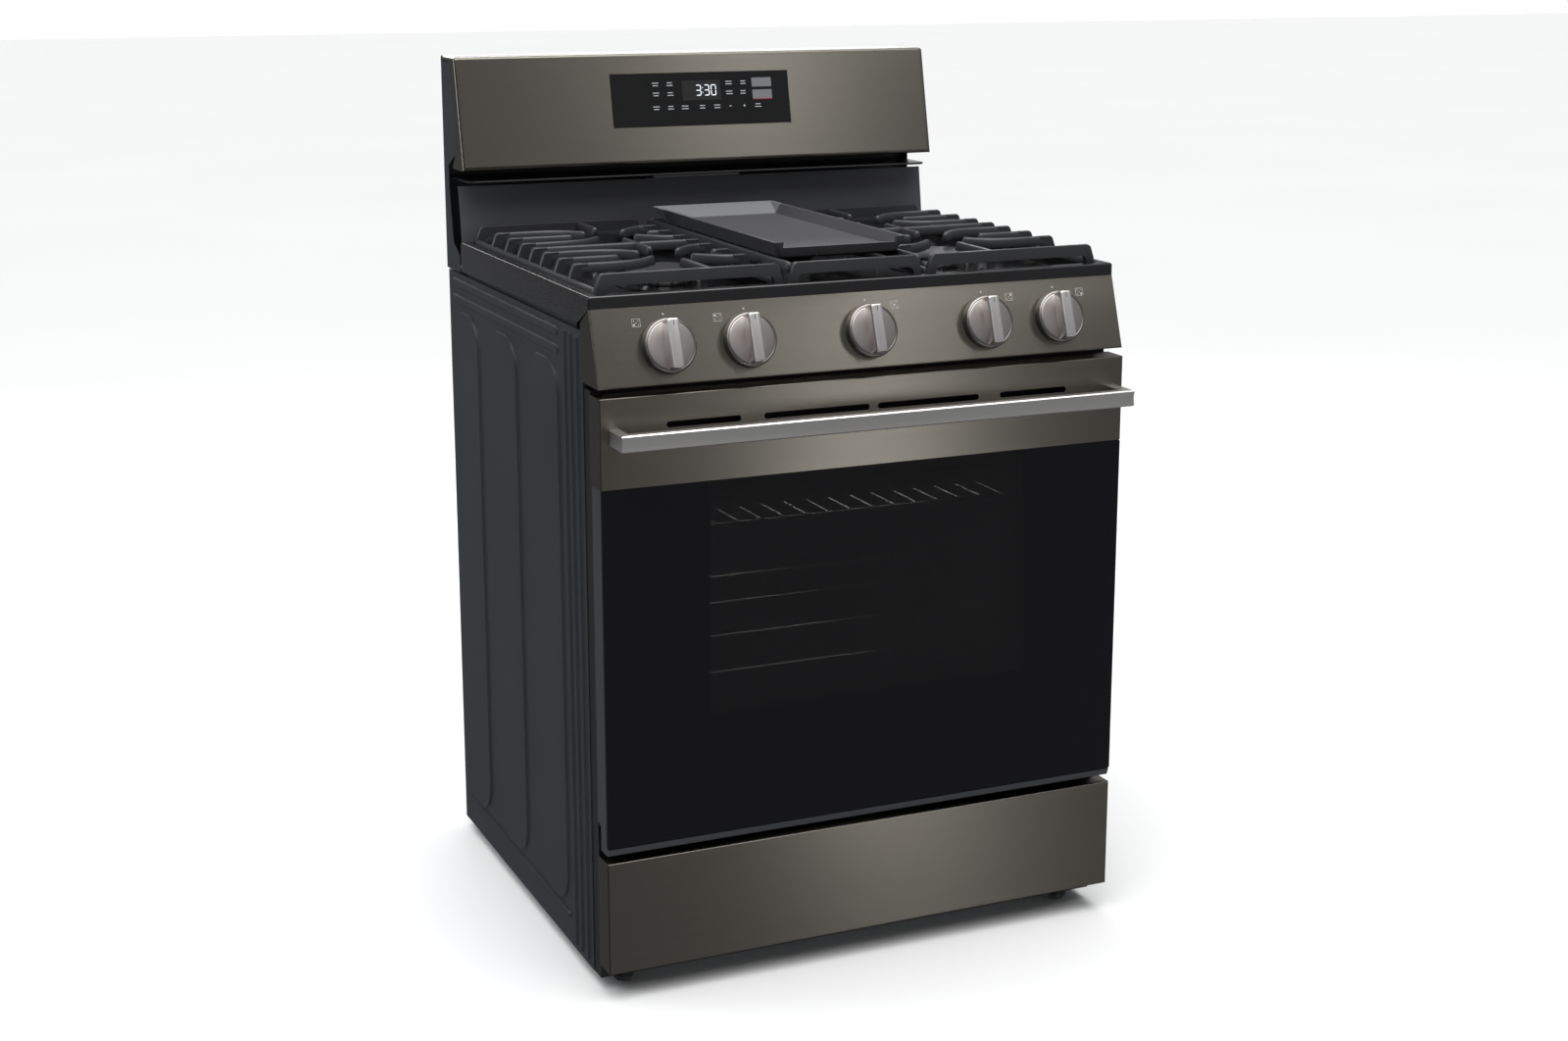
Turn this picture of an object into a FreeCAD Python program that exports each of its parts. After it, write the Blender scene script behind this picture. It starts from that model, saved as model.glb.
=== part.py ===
"""Freestanding gas range, 30 inch class, with five burners, a convection oven and a storage drawer.

Frame: +Z up, +X to the right seen from the front, the door faces -Y.
Origin: centre of the bounding box in plan, on the floor under the levelling feet.
Every piece is its own solid in its own STEP file, at rest: door, drawer, racks and knobs closed or off.
"""
import FreeCAD, Part
import math
import os

os.makedirs("parts", exist_ok=True)
V = FreeCAD.Vector

# ---------------------------------------------------------------- overall sizes
range_width = 759.0          # across the cooktop
range_depth = 735.0          # front of the handle to the rear screw heads
cooktop_height = 936.0       # floor to the top of the cooktop rim
backguard_rise = 266.0       # cooktop rim to the top of the backguard
handle_reach = 50.0          # front of the handle ahead of the door skin

# ---------------------------------------------------------------- sheet and clearances
sheet = 1.0                  # body and drawer sheet steel
trim_sheet = 1.2             # finished front panels, oven liner and door skins
frame_sheet = 1.5            # front frame and base frame
seat_gap = 0.3               # between pieces on different bodies that rest on each other
running_gap = 0.05           # radial, shafts and pins in their bores
fit_gap = 0.5                # between a fixed piece and the opening that it sits in

# ---------------------------------------------------------------- cooktop and control panel
rim_height = 16.0            # front lip of the cooktop
rim_land = 12.0              # flat border round the well
well_slope = 6.0             # the well's walls lean in this much
well_corner = 6.0            # corner radius of the well's floor
edge_round = 3.5             # rounding of the cooktop's outer edges
well_depth = 20.0
cooktop_skirt = 43.0         # sides of the cooktop, top to bottom edge at the back
cooktop_front = 34.0         # front lip behind the door skin
cooktop_rear = 604.0         # rear edge behind the door skin
fascia_height = 97.0         # sloped control panel
fascia_foot = 2.0            # its lower front edge behind the door skin
fascia_rear = 70.0           # rear edge of its side faces
fascia_gap = 11.0            # gap between control panel and door

# ---------------------------------------------------------------- knobs and valves
knob_outer = range_width / 2 - 97.5
knob_inner = range_width / 2 - 207.5
knob_offsets = (-knob_outer, -knob_inner, 0.0, knob_inner, knob_outer)
knob_drop = 51.0             # knob centre below the top of the control panel
knob_skirt_radius = 36.0
knob_face_radius = 32.0
knob_body_depth = 15.0
knob_grip_width = 17.0
knob_grip_height = 20.0
knob_gap = 4.5               # knob to panel, taken up when it is pressed
stem_radius = 3.5
stem_bore_depth = 12.0       # how far the stem reaches into the knob
valve_radius = 13.0
manifold_radius = 9.0
gas_tube_radius = 4.0

# ---------------------------------------------------------------- door
door_depth = 39.0
door_body_gap = 5.0          # between door and front frame
door_side_gap = 0.5          # door narrower than the cooktop, each side
trim_height = 117.0          # finished band that carries the handle
door_glass = 4.0
lip_height = 11.0            # dark lip under the glass
door_pivot_back = 14.0       # hinge pin behind the door skin
door_pivot_up = 20.0         # hinge pin above the door's lower edge
door_foot_depth = 28.0       # door is thinner here, so its lower edge swings clear
slot_height = 8.0
slot_drop = 39.0             # vent slots' centre line below the top of the trim
slot_spans = ((6.0, 156.0), (188.0, 290.0))
handle_length = range_width - 23
handle_height = 22.0
handle_bar = 14.0
handle_end = 16.0
handle_drop = 49.0           # handle's centre line below the top of the trim
window_half_width = range_width / 2 - 154.5
window_height = 262.0
window_up = 176.0            # window's lower edge above the door's lower edge
hinge_offset = range_width / 2 - 40.5
hinge_pin_radius = 4.0
arm_thickness = 6.0

# ---------------------------------------------------------------- drawer
drawer_clearance = 40.0      # floor to the drawer front
drawer_face_height = 155.0
drawer_gap = 10.0            # drawer front to door
drawer_box_half_width = range_width / 2 - 49.5
drawer_box_depth = 520.0
drawer_box_bottom = 12.0     # pan above the lower edge of the drawer front
drawer_box_height = 123.0
drawer_lip = 18.0            # outward lip that hangs on the rails

# ---------------------------------------------------------------- body
panel_inset = 3.0            # flat of the side panels inside the cooktop edge
boss_height = 2.5            # pressed pads and ribs in the side panels
side_clearance = 17.0        # floor to the lower edge of the side panels
side_top_drop = 33.0         # side panels' top below the cooktop's front lip
flange = 18.0
screw_head = 2.0
screw_radius = 2.0
base_rail = 40.0
base_height = 26.0
foot_radius = 19.0
foot_offset = range_width / 2 - 44.5
foot_front = 68.0            # behind the door skin
foot_rear = 650.0

# ---------------------------------------------------------------- oven
cavity_half_width = range_width / 2 - 73.5
cavity_bottom_up = 67.0      # cavity opening above the drawer front
cavity_depth = 498.0
cavity_headroom = 45.0       # cavity top below the top of the front frame
burner_box_depth = 29.0      # space under the oven floor for the bake burner
insulation = 38.0
gasket_width = 10.0
rack_pitch = 68.0
rack_first = 75.0            # lowest rack position above the oven floor
rack_levels = 6
rack_wire = 3.0
rack_cross_wire = 2.0
rack_wire_count = 17
rack_corner = 12.0
rack_depth = 440.0
fan_radius = 72.0
fan_cover_half = 110.0
fan_cover_depth = 27.0
shaft_radius = 4.0
burner_tube_radius = 10.0

# ---------------------------------------------------------------- burners and grates
burner_column = 205.0
burner_rear = 443.0          # behind the door skin
burner_front = 222.0
cap_radius_front = 53.0
cap_radius_rear = 43.0
cap_thickness = 7.0
head_height = 16.0           # burner head above the well
oval_half_width = 30.0
oval_half_length = 95.0
grate_top = 24.0             # above the cooktop rim
grate_bar = 9.0
grate_bar_depth = 14.0
grate_split = 100.0          # half the width of the middle grate
grate_gap = 4.0
grate_inset = 3.5            # grate inside the upper edge of the well
grate_front = 55.0
grate_rear = 588.0
griddle_rise = 20.0          # griddle rim above the grates
griddle_wall = 6.0

# ---------------------------------------------------------------- backguard
console_height = 161.0
console_foot = 579.0         # lower front edge of the console behind the door skin
console_lean = 35.0          # its upper edge lies this much further back
console_round = 5.0
splash_lean = 12.0
shelf_drop = 15.0            # vent shelf below the console
shelf_thickness = 3.0
vent_gap = 8.0
display_half_width = 143.5
display_height = 77.3
display_drop = 29.4          # display below the top of the console
display_glass_thickness = 3.0

# ---------------------------------------------------------------- levels and planes worked out
half_width = range_width / 2
face_y = -range_depth / 2 + handle_reach
back_y = range_depth / 2 - screw_head
range_height = cooktop_height + backguard_rise
body_front = face_y + door_depth + door_body_gap
rim_bottom = cooktop_height - rim_height
well_z = cooktop_height - well_depth
fascia_bottom = rim_bottom - fascia_height
door_top = fascia_bottom - fascia_gap
trim_bottom = door_top - trim_height
drawer_top = drawer_clearance + drawer_face_height
door_bottom = drawer_top + drawer_gap
glass_bottom = door_bottom + lip_height
pivot_y = face_y + door_pivot_back
pivot_z = door_bottom + door_pivot_up
door_half = half_width - door_side_gap
side_out = half_width - panel_inset
side_in = side_out - sheet
side_top = rim_bottom - side_top_drop
frame_top = fascia_bottom - 8
cavity_bottom = drawer_top + cavity_bottom_up
cavity_top = frame_top - cavity_headroom
cavity_front = body_front + frame_sheet
cavity_rear = cavity_front + cavity_depth
liner_bottom = cavity_bottom - burner_box_depth
window_bottom = door_bottom + window_up
window_top = window_bottom + window_height
grate_z = cooktop_height + grate_top
console_bottom = range_height - console_height
shelf_z = console_bottom - shelf_drop
cover_rear = back_y


def behind(distance):
    """y of a plane this far behind the door skin."""
    return face_y + distance


# ---------------------------------------------------------------- shape helpers
def block(x0, x1, y0, y1, z0, z1):
    return Part.makeBox(x1 - x0, y1 - y0, z1 - z0, V(x0, y0, z0))


def rod(start, end, radius):
    axis = end - start
    return Part.makeCylinder(radius, axis.Length, start, axis)


def prism(points, direction):
    """Polygon through the points, swept along the direction."""
    outline = Part.makePolygon(list(points) + [points[0]])
    return Part.Face(outline).extrude(direction)


def prism_x(points, x0, x1):
    return prism([V(x0, y, z) for y, z in points], V(x1 - x0, 0, 0))


def prism_z(points, z0, z1):
    return prism([V(x, y, z0) for x, y in points], V(0, 0, z1 - z0))


def rounded_wire(u0, u1, v0, v1, radius, place):
    """Rounded rectangle; place(u, v) gives the 3-D point."""
    radius = min(radius, (u1 - u0) / 2 - 0.01, (v1 - v0) / 2 - 0.01)
    lean = radius * (1 - math.sqrt(0.5))
    corners = (
        ((u1 - radius, v0), (u1 - lean, v0 + lean), (u1, v0 + radius)),
        ((u1, v1 - radius), (u1 - lean, v1 - lean), (u1 - radius, v1)),
        ((u0 + radius, v1), (u0 + lean, v1 - lean), (u0, v1 - radius)),
        ((u0, v0 + radius), (u0 + lean, v0 + lean), (u0 + radius, v0)),
    )
    edges = []
    for index, corner in enumerate(corners):
        start, middle, end = [place(u, v) for u, v in corner]
        edges.append(Part.Arc(start, middle, end).toShape())
        following = place(*corners[(index + 1) % 4][0])
        edges.append(Part.LineSegment(end, following).toShape())
    return Part.Wire(edges)


def rounded_block_z(x0, x1, y0, y1, z0, z1, radius):
    wire = rounded_wire(x0, x1, y0, y1, radius, lambda u, v: V(u, v, z0))
    return Part.Face(wire).extrude(V(0, 0, z1 - z0))


def rounded_block_y(x0, x1, y0, y1, z0, z1, radius):
    wire = rounded_wire(x0, x1, z0, z1, radius, lambda u, v: V(u, y0, v))
    return Part.Face(wire).extrude(V(0, y1 - y0, 0))


def fuse(shapes):
    shapes = list(shapes)
    return shapes[0].multiFuse(shapes[1:]).removeSplitter()


def cut(shape, tools):
    return shape.cut(Part.makeCompound(list(tools)))


def mirrored(shape):
    """The same piece on the other side of the range."""
    return shape.mirror(V(0, 0, 0), V(1, 0, 0))


def both_sides(shape):
    return [shape, mirrored(shape)]


def save(name, solids):
    """One STEP file per node; a node may hold several separate solids."""
    pieces = []
    for piece in solids if isinstance(solids, list) else [solids]:
        pieces.extend(piece.Solids)
    bad = [index for index, piece in enumerate(pieces) if not piece.isValid()]
    shape = pieces[0] if len(pieces) == 1 else Part.makeCompound(pieces)
    shape.exportStep("parts/" + name + ".step")
    print(name, len(pieces), "solids", round(shape.Volume / 1000, 1), "cm3",
          "BAD" if bad or not pieces else "")


# ---------------------------------------------------------------- side panels
# Pressed sheet: three tall pads, ribs along the edges, and flanges turned in all round.
side_front = behind(fascia_rear)
pad_margin_front = 97.0
pad_margin_rear = 21.0
pad_gap = 56.0
pad_radius = 50.0
rib_width = 12.0
screw_rows = 4
screw_first = 60.0
screw_inset = 8.0


def boss(y0, y1, z0, z1, radius):
    """Raised pad on the right side panel, with tapered edges."""
    taper = boss_height
    base = rounded_wire(y0, y1, z0, z1, radius, lambda u, v: V(side_out - 0.2, u, v))
    crown = rounded_wire(y0 + taper, y1 - taper, z0 + taper, z1 - taper, radius - taper,
                         lambda u, v: V(side_out + boss_height, u, v))
    return Part.makeLoft([base, crown], True, True)


def screw_heights():
    span = side_top - side_clearance - 2 * screw_first
    return [side_clearance + screw_first + span * i / (screw_rows - 1) for i in range(screw_rows)]


def side_panel():
    skin = block(side_in, side_out, side_front, cover_rear - sheet, side_clearance, side_top)
    inner = side_in - flange
    flanges = [
        block(inner, side_in, side_front, side_front + sheet, side_clearance, side_top),
        block(inner, side_in, cover_rear - 2 * sheet, cover_rear - sheet, side_clearance, side_top),
        block(inner - 7, side_in, side_front, cover_rear - sheet, side_clearance, side_clearance + sheet),
        block(inner, side_in, side_front, cover_rear - sheet, side_top - sheet, side_top),
        block(side_in - 4, side_in - 3, side_front + 30, behind(cooktop_rear) - 10, side_top - sheet,
              cooktop_height - sheet),
    ]
    zone = cover_rear - pad_margin_rear - side_front - pad_margin_front
    pitch = (zone + pad_gap) / 3
    pad_low = side_clearance + 49
    pad_high = side_top - 55
    bosses = []
    for index in range(3):
        start = side_front + pad_margin_front + index * pitch
        bosses.append(boss(start, start + pitch - pad_gap, pad_low, pad_high, pad_radius))
    for distance in (22.0, 47.0, 71.0):
        middle = side_front + distance
        bosses.append(boss(middle - rib_width / 2, middle + rib_width / 2,
                           side_clearance + 6, side_top - 6, rib_width / 2))
    rib_start = side_front + pad_margin_front - 2
    for low, high in ((side_clearance + 36, side_clearance + 46), (side_top - 46, side_top - 32),
                      (side_top - 22, side_top - 8)):
        bosses.append(boss(rib_start, cover_rear - pad_margin_rear, low, high, (high - low) / 2))
    panel = fuse([skin] + flanges)
    for pad in bosses:
        panel = panel.fuse(pad)
    panel = panel.cut(Part.makeCompound([pad.translated(V(-sheet - 0.01, 0, 0)) for pad in bosses]))
    holes = [rod(V(side_in - screw_inset, cover_rear - 3, z), V(side_in - screw_inset, cover_rear, z),
                 screw_radius + 0.1) for z in screw_heights()]
    return cut(panel, holes)


save("side_panels", both_sides(side_panel()))

# ---------------------------------------------------------------- base frame and feet
# Welded channel, open underneath, that the side panels' lower flanges carry.
base_z = side_clearance + sheet
base_half = side_in - flange - 1.5
base_front = body_front + frame_sheet + 1.5
base_rear = cover_rear - 3
foot_places = [(x, behind(y)) for x in (-foot_offset, foot_offset) for y in (foot_front, foot_rear)]
ring = block(-base_half, base_half, base_front, base_rear, base_z, base_z + base_height)
ring = cut(ring, [block(-base_half + base_rail, base_half - base_rail, base_front + base_rail,
                        base_rear - base_rail, base_z - 1, base_z + base_height + 1)])
hollow = block(-base_half + frame_sheet, base_half - frame_sheet, base_front + frame_sheet,
               base_rear - frame_sheet, base_z - 1, base_z + base_height - frame_sheet)
core = block(-base_half + base_rail - frame_sheet, base_half - base_rail + frame_sheet,
             base_front + base_rail - frame_sheet, base_rear - base_rail + frame_sheet,
             base_z - 1, base_z + base_height)
ring = ring.cut(hollow.cut(core))
foot_holes = [rod(V(x, y, 0), V(x, y, 90), 5.5) for x, y in foot_places]
save("base_frame", cut(ring, foot_holes))


def leveling_foot(x, y):
    """Eight-sided glide on a threaded stem, with a collar that bears on the base frame."""
    def ring_wire(radius, z):
        corners = [V(x + radius * math.cos(math.pi / 8 + i * math.pi / 4),
                     y + radius * math.sin(math.pi / 8 + i * math.pi / 4), z) for i in range(8)]
        return Part.makePolygon(corners + [corners[0]])
    taper = Part.makeLoft([ring_wire(foot_radius - 6, 0), ring_wire(foot_radius, 9)], True, True)
    glide = Part.makeLoft([ring_wire(foot_radius, 9), ring_wire(foot_radius, side_clearance - 1)], True,
                          True)
    collar = rod(V(x, y, side_clearance - 1), V(x, y, base_z + base_height - frame_sheet), 9)
    stem = rod(V(x, y, side_clearance - 1), V(x, y, base_z + base_height + 8), 5)
    return fuse([taper, glide, collar, stem])


save("leveling_feet", [leveling_foot(x, y) for x, y in foot_places])

# ---------------------------------------------------------------- front frame
# One stamped frame with the oven opening above and the drawer opening below.
frame_half = side_out - 1
hinge_slot_half = arm_thickness / 2 + 2
arm_half_height = 8.0
drawer_opening_half = drawer_box_half_width + drawer_lip + 2


def front_frame():
    plate = block(-frame_half, frame_half, body_front, body_front + frame_sheet, side_clearance, frame_top)
    returns = [
        block(frame_half - frame_sheet, frame_half, body_front, side_front, side_clearance, frame_top),
        block(-frame_half, -frame_half + frame_sheet, body_front, side_front, side_clearance, frame_top),
        block(-frame_half, frame_half, body_front, side_front, frame_top - frame_sheet, frame_top),
    ]
    frame = fuse([plate] + returns)
    openings = [
        rounded_block_y(-cavity_half_width, cavity_half_width, body_front - 1, body_front + 5,
                        cavity_bottom, cavity_top, 12),
        block(-drawer_opening_half, drawer_opening_half, body_front - 1, body_front + 5,
              base_z + base_height + 2, drawer_top - 5),
    ]
    slot = block(hinge_offset - hinge_slot_half, hinge_offset + hinge_slot_half, body_front - 1,
                 body_front + 5, pivot_z - arm_half_height, pivot_z + arm_half_height + 3)
    return cut(frame, openings + both_sides(slot))


save("front_frame", front_frame())

# ---------------------------------------------------------------- oven liner
# Enamelled five-sided box with a flange behind the front frame.
fan_z = cavity_bottom + 0.51 * (cavity_top - cavity_bottom)
lamp_x = -cavity_half_width + 86
sensor_x = cavity_half_width - 86
lamp_z = cavity_top - 62
bake_z = liner_bottom + 17
broil_z = cavity_top - 22
flue_half = 70.0
flue_front = 500.0
flue_depth = 34.0


def rear_openings(y0, y1, slack):
    """Holes behind the oven for the fan shaft, lamp, sensor and burner tubes."""
    places = ((0, fan_z, shaft_radius + 3), (lamp_x, lamp_z, 20), (sensor_x, lamp_z, 4),
              (0, bake_z, burner_tube_radius + running_gap), (0, broil_z, burner_tube_radius + running_gap))
    return [rod(V(x, y0, z), V(x, y1, z), radius + slack) for x, z, radius in places]


def oven_liner():
    low, high = liner_bottom - trim_sheet, cavity_top + trim_sheet
    out = cavity_half_width + trim_sheet
    shell = block(-out, out, cavity_front, cavity_rear + trim_sheet, low, high)
    rim = block(-out - 15, out + 15, cavity_front, cavity_front + trim_sheet, low - 8, high + 15)
    liner = fuse([shell, rim])
    inside = block(-cavity_half_width, cavity_half_width, cavity_front - 1, cavity_rear, liner_bottom,
                   cavity_top)
    flue_hole = block(-flue_half + sheet, flue_half - sheet, behind(flue_front + sheet),
                      behind(flue_front + flue_depth - sheet), cavity_top - 1, high + 1)
    return cut(liner, [inside, flue_hole] + rear_openings(cavity_rear - 1, cavity_rear + 5, 0))


save("oven_liner", oven_liner())

# ---------------------------------------------------------------- oven insulation
# Mineral wool blanket round the liner's top, sides, back and bottom.
wool_front = behind(82)
wool_bottom = liner_bottom - trim_sheet - 24
wool_rear = cavity_rear + trim_sheet + insulation
wool = block(-cavity_half_width - insulation, cavity_half_width + insulation, wool_front, wool_rear,
             wool_bottom, cavity_top + insulation)
wool_inside = block(-cavity_half_width - trim_sheet, cavity_half_width + trim_sheet, wool_front - 1,
                    cavity_rear + trim_sheet, liner_bottom - trim_sheet, cavity_top + trim_sheet)
wool_flue = block(-flue_half, flue_half, behind(flue_front), behind(flue_front + flue_depth),
                  cavity_top, cavity_top + insulation + 1)
save("oven_insulation", cut(wool, [wool_inside, wool_flue] + rear_openings(cavity_rear, wool_rear + 1, 1)))

# ---------------------------------------------------------------- oven floor
# Lift-in floor with turned-down edges, slotted along both sides to let the heat up.
floor_half = cavity_half_width - 1.5
floor_front = cavity_front + 2
floor_rear = cavity_rear - 2
floor_panel = block(-floor_half, floor_half, floor_front, floor_rear, liner_bottom, cavity_bottom)
floor_inside = block(-floor_half + trim_sheet, floor_half - trim_sheet, floor_front + trim_sheet,
                     floor_rear - trim_sheet, liner_bottom - 1, cavity_bottom - trim_sheet)
slot_count = 8
slot_pitch = (floor_rear - floor_front - 60) / slot_count
floor_slots = []
for index in range(slot_count):
    start = floor_front + 30 + index * slot_pitch
    slot = rounded_block_z(floor_half - 30, floor_half - 20, start + 8, start + slot_pitch - 8,
                           cavity_bottom - 5, cavity_bottom + 5, 5)
    floor_slots += both_sides(slot)
tube_notch = block(-burner_tube_radius - fit_gap, burner_tube_radius + fit_gap, floor_rear - 5,
                   floor_rear + 1,
                   liner_bottom - 1, bake_z + burner_tube_radius + fit_gap)
save("oven_floor_panel", cut(floor_panel, [floor_inside, tube_notch] + floor_slots))

# ---------------------------------------------------------------- oven burners
# Bake burner under the floor and broil burner under the roof: closed tubes with two rows of ports.
tube_front = cavity_front + 60
tube_rear = wool_rear + 30


def tube_burner(z, side):
    tube = rod(V(0, tube_front, z), V(0, tube_rear, z), burner_tube_radius)
    bore = rod(V(0, tube_front + 2, z), V(0, tube_rear + 1, z), burner_tube_radius - 1.5)
    ports = []
    port_pitch = 24.0
    for index in range(int((cavity_rear - tube_front - 60) / port_pitch)):
        y = tube_front + 30 + index * port_pitch
        ports.append(rod(V(-20, y, z + side * 4), V(20, y, z + side * 4), 1.2))
    return cut(tube, [bore] + ports)


save("oven_burners", [tube_burner(bake_z, 1), tube_burner(broil_z, -1)])

# ---------------------------------------------------------------- rack guides and racks
guide_x = cavity_half_width - 10
guide_start = cavity_front + 20
guide_end = cavity_front + rack_depth + 30
rack_front = cavity_front + 24
rack_heights = [cavity_bottom + rack_first + rack_pitch * i for i in range(rack_levels)]


def rack_guide():
    """Wire ladder on the right wall: one rung for each rack position."""
    rungs = [rod(V(guide_x, guide_start, z), V(guide_x, guide_end, z), rack_wire) for z in rack_heights]
    post_x = guide_x + rack_wire + 2
    wires = []
    for y in (guide_start + 40, guide_end - 40):
        wires.append(rod(V(post_x, y, rack_heights[0] - 25), V(post_x, y, rack_heights[-1] + 25), 2.5))
        for z in (rack_heights[0] - 20, rack_heights[-1] + 20):
            wires.append(rod(V(post_x, y, z), V(cavity_half_width, y, z), 2.5))
    return fuse(rungs + wires)


save("rack_guides", both_sides(rack_guide()))


def oven_rack(level):
    """Wire shelf whose two side rods rest on a pair of rungs."""
    z = rack_heights[level] + 2 * rack_wire + seat_gap
    rear = rack_front + rack_depth
    x = guide_x - 2
    outline = rounded_wire(-x, x, rack_front, rear, rack_corner, lambda u, v: V(u, v, z))
    section = Part.Wire(Part.Circle(V(x - rack_corner, rack_front, z), V(1, 0, 0), rack_wire).toShape())
    frame = outline.makePipeShell([section], True, True)
    braces = [rod(V(-x, y, z), V(x, y, z), rack_wire - 0.5) for y in (rack_front + rack_depth * 0.35,
                                                                     rack_front + rack_depth * 0.7)]
    top = z + rack_wire - 0.5
    wires = []
    for index in range(rack_wire_count):
        wire_x = -x + 30 + (2 * x - 60) * index / (rack_wire_count - 1)
        wires.append(rod(V(wire_x, rack_front, top), V(wire_x, rear, top), rack_cross_wire))
    return fuse([frame] + braces + wires)


save("oven_rack_lower", oven_rack(1))
save("oven_rack_upper", oven_rack(4))

# ---------------------------------------------------------------- convection fan
cover_front = cavity_rear - fan_cover_depth


def fan_cover():
    """Shallow pressed cover with a round grille of slots."""
    cover = rounded_block_y(-fan_cover_half, fan_cover_half, cover_front, cavity_rear,
                            fan_z - fan_cover_half, fan_z + fan_cover_half, 24)
    inside = rounded_block_y(-fan_cover_half + trim_sheet, fan_cover_half - trim_sheet,
                             cover_front + trim_sheet,
                             cavity_rear + 1, fan_z - fan_cover_half + trim_sheet,
                             fan_z + fan_cover_half - trim_sheet, 23)
    slots = []
    spokes = 16
    for index in range(spokes):
        slot = rounded_block_y(-3, 3, cover_front - 1, cover_front + 5, fan_z + 26, fan_z + 74, 3)
        slot.rotate(V(0, 0, fan_z), V(0, 1, 0), index * 360 / spokes)
        slots.append(slot)
    return cut(cover, [inside] + slots)


save("fan_cover", fan_cover())

fan_front = cover_front + 5
fan_back = cavity_rear - 5
motor_front = wool_rear + 2
blades = 8


def convection_fan():
    hub = rod(V(0, fan_front, fan_z), V(0, fan_back, fan_z), 10)
    disc = rod(V(0, fan_back - 1.2, fan_z), V(0, fan_back, fan_z), fan_radius - 6)
    vanes = []
    for index in range(blades):
        vane = block(8, fan_radius, fan_front, fan_back, fan_z - 0.6, fan_z + 0.6)
        vane.rotate(V(30, 0, fan_z), V(0, 1, 0), 25)
        vane.rotate(V(0, 0, fan_z), V(0, 1, 0), index * 360 / blades)
        vanes.append(vane)
    shaft = rod(V(0, fan_back - 1, fan_z), V(0, motor_front + stem_bore_depth, fan_z), shaft_radius)
    return fuse([hub, disc, shaft] + vanes)


save("convection_fan", convection_fan())

motor_rear = motor_front + 52
motor_parts = [
    rod(V(0, motor_front, fan_z), V(0, motor_rear, fan_z), 38),
    block(-62, 62, motor_front, motor_front + 3, fan_z - 14, fan_z + 14),
]
motor_bore = rod(V(0, motor_front - 1, fan_z), V(0, motor_front + stem_bore_depth + 2, fan_z),
                 shaft_radius + running_gap)
save("fan_motor", cut(fuse(motor_parts), [motor_bore]))

# ---------------------------------------------------------------- oven lamp and sensor
lamp_parts = [
    rod(V(lamp_x, cavity_rear - 2, lamp_z), V(lamp_x, cavity_rear, lamp_z), 27),
    rod(V(lamp_x, cavity_rear - 2, lamp_z), V(lamp_x, wool_rear + 8, lamp_z), 19.5),
    Part.makeSphere(22, V(lamp_x, cavity_rear - 2, lamp_z)).common(
        block(lamp_x - 30, lamp_x + 30, cavity_rear - 30, cavity_rear - 1, lamp_z - 30, lamp_z + 30)),
]
save("oven_lamp", fuse(lamp_parts))

sensor_parts = [
    rod(V(sensor_x, cavity_rear - 70, lamp_z), V(sensor_x, wool_rear + 6, lamp_z), 3),
    block(sensor_x - 16, sensor_x + 16, cavity_rear - 1.5, cavity_rear, lamp_z - 9, lamp_z + 9),
]
save("temperature_sensor", fuse(sensor_parts))

# ---------------------------------------------------------------- door gasket
# Woven rope pressed flat, fixed to the front frame round the oven opening.
liner_skin = behind(door_depth + trim_sheet)
gasket_in = 2.0
gasket_outer = (cavity_half_width + gasket_in + gasket_width, cavity_bottom - gasket_in - gasket_width,
                cavity_top + gasket_in + gasket_width)
gasket_front = liner_skin + seat_gap
gasket = rounded_block_y(-gasket_outer[0], gasket_outer[0], gasket_front, body_front,
                         gasket_outer[1], gasket_outer[2], 24)
gasket_hole = rounded_block_y(-cavity_half_width - gasket_in, cavity_half_width + gasket_in,
                              gasket_front - 1,
                              body_front + 1, cavity_bottom - gasket_in, cavity_top + gasket_in, 14)
save("door_gasket", cut(gasket, [gasket_hole]))

# ---------------------------------------------------------------- oven flue
# Sheet duct from the oven roof, back and up to the vent under the console.
flue_top = shelf_z - vent_gap
flue_low = cavity_top + trim_sheet
flue_bend = cavity_top + insulation + 14
flue_back_front = behind(cooktop_rear + 18)


def flue_outline(inset, ends):
    """Side view of the duct; ends stretches it past its mouths."""
    y0, y1 = behind(flue_front) + inset, behind(flue_front + flue_depth) - inset
    y2, y3 = flue_back_front + inset, flue_back_front + flue_depth - inset
    return ((y0, flue_low - ends), (y1, flue_low - ends), (y1, flue_bend + inset),
            (y3, flue_bend + 24 + inset),
            (y3, flue_top + ends), (y2, flue_top + ends), (y2, flue_bend + 58 - inset),
            (y0, flue_bend + 34 - inset))


flue = prism_x(flue_outline(0, 0), -flue_half, flue_half)
save("oven_flue", cut(flue, [prism_x(flue_outline(sheet, 1), -flue_half + sheet, flue_half - sheet)]))

# ---------------------------------------------------------------- cooktop
# One porcelain pressing: rim, sunken well with sloped sides, skirts down both sides.
lip_front = behind(cooktop_front)
lip_knee = behind(cooktop_front + 12)
lip_heel = behind(cooktop_front + 42)
top_rear = behind(cooktop_rear)
knee_z = rim_bottom - 5.5
heel_z = cooktop_height - cooktop_skirt + 5
skirt_z = cooktop_height - cooktop_skirt
burner_places = [
    ("left_rear", -burner_column, behind(burner_rear), cap_radius_rear),
    ("left_front", -burner_column, behind(burner_front), cap_radius_front),
    ("right_rear", burner_column, behind(burner_rear), cap_radius_rear),
    ("right_front", burner_column, behind(burner_front), cap_radius_front),
]
oval_y = behind((burner_rear + burner_front) / 2)
throat_radius = 26.0
igniter_radius = 3.0
igniter_offset = 6.0
well_front = lip_front + rim_land
well_rear = top_rear - 8
well_half = half_width - rim_land


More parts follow.
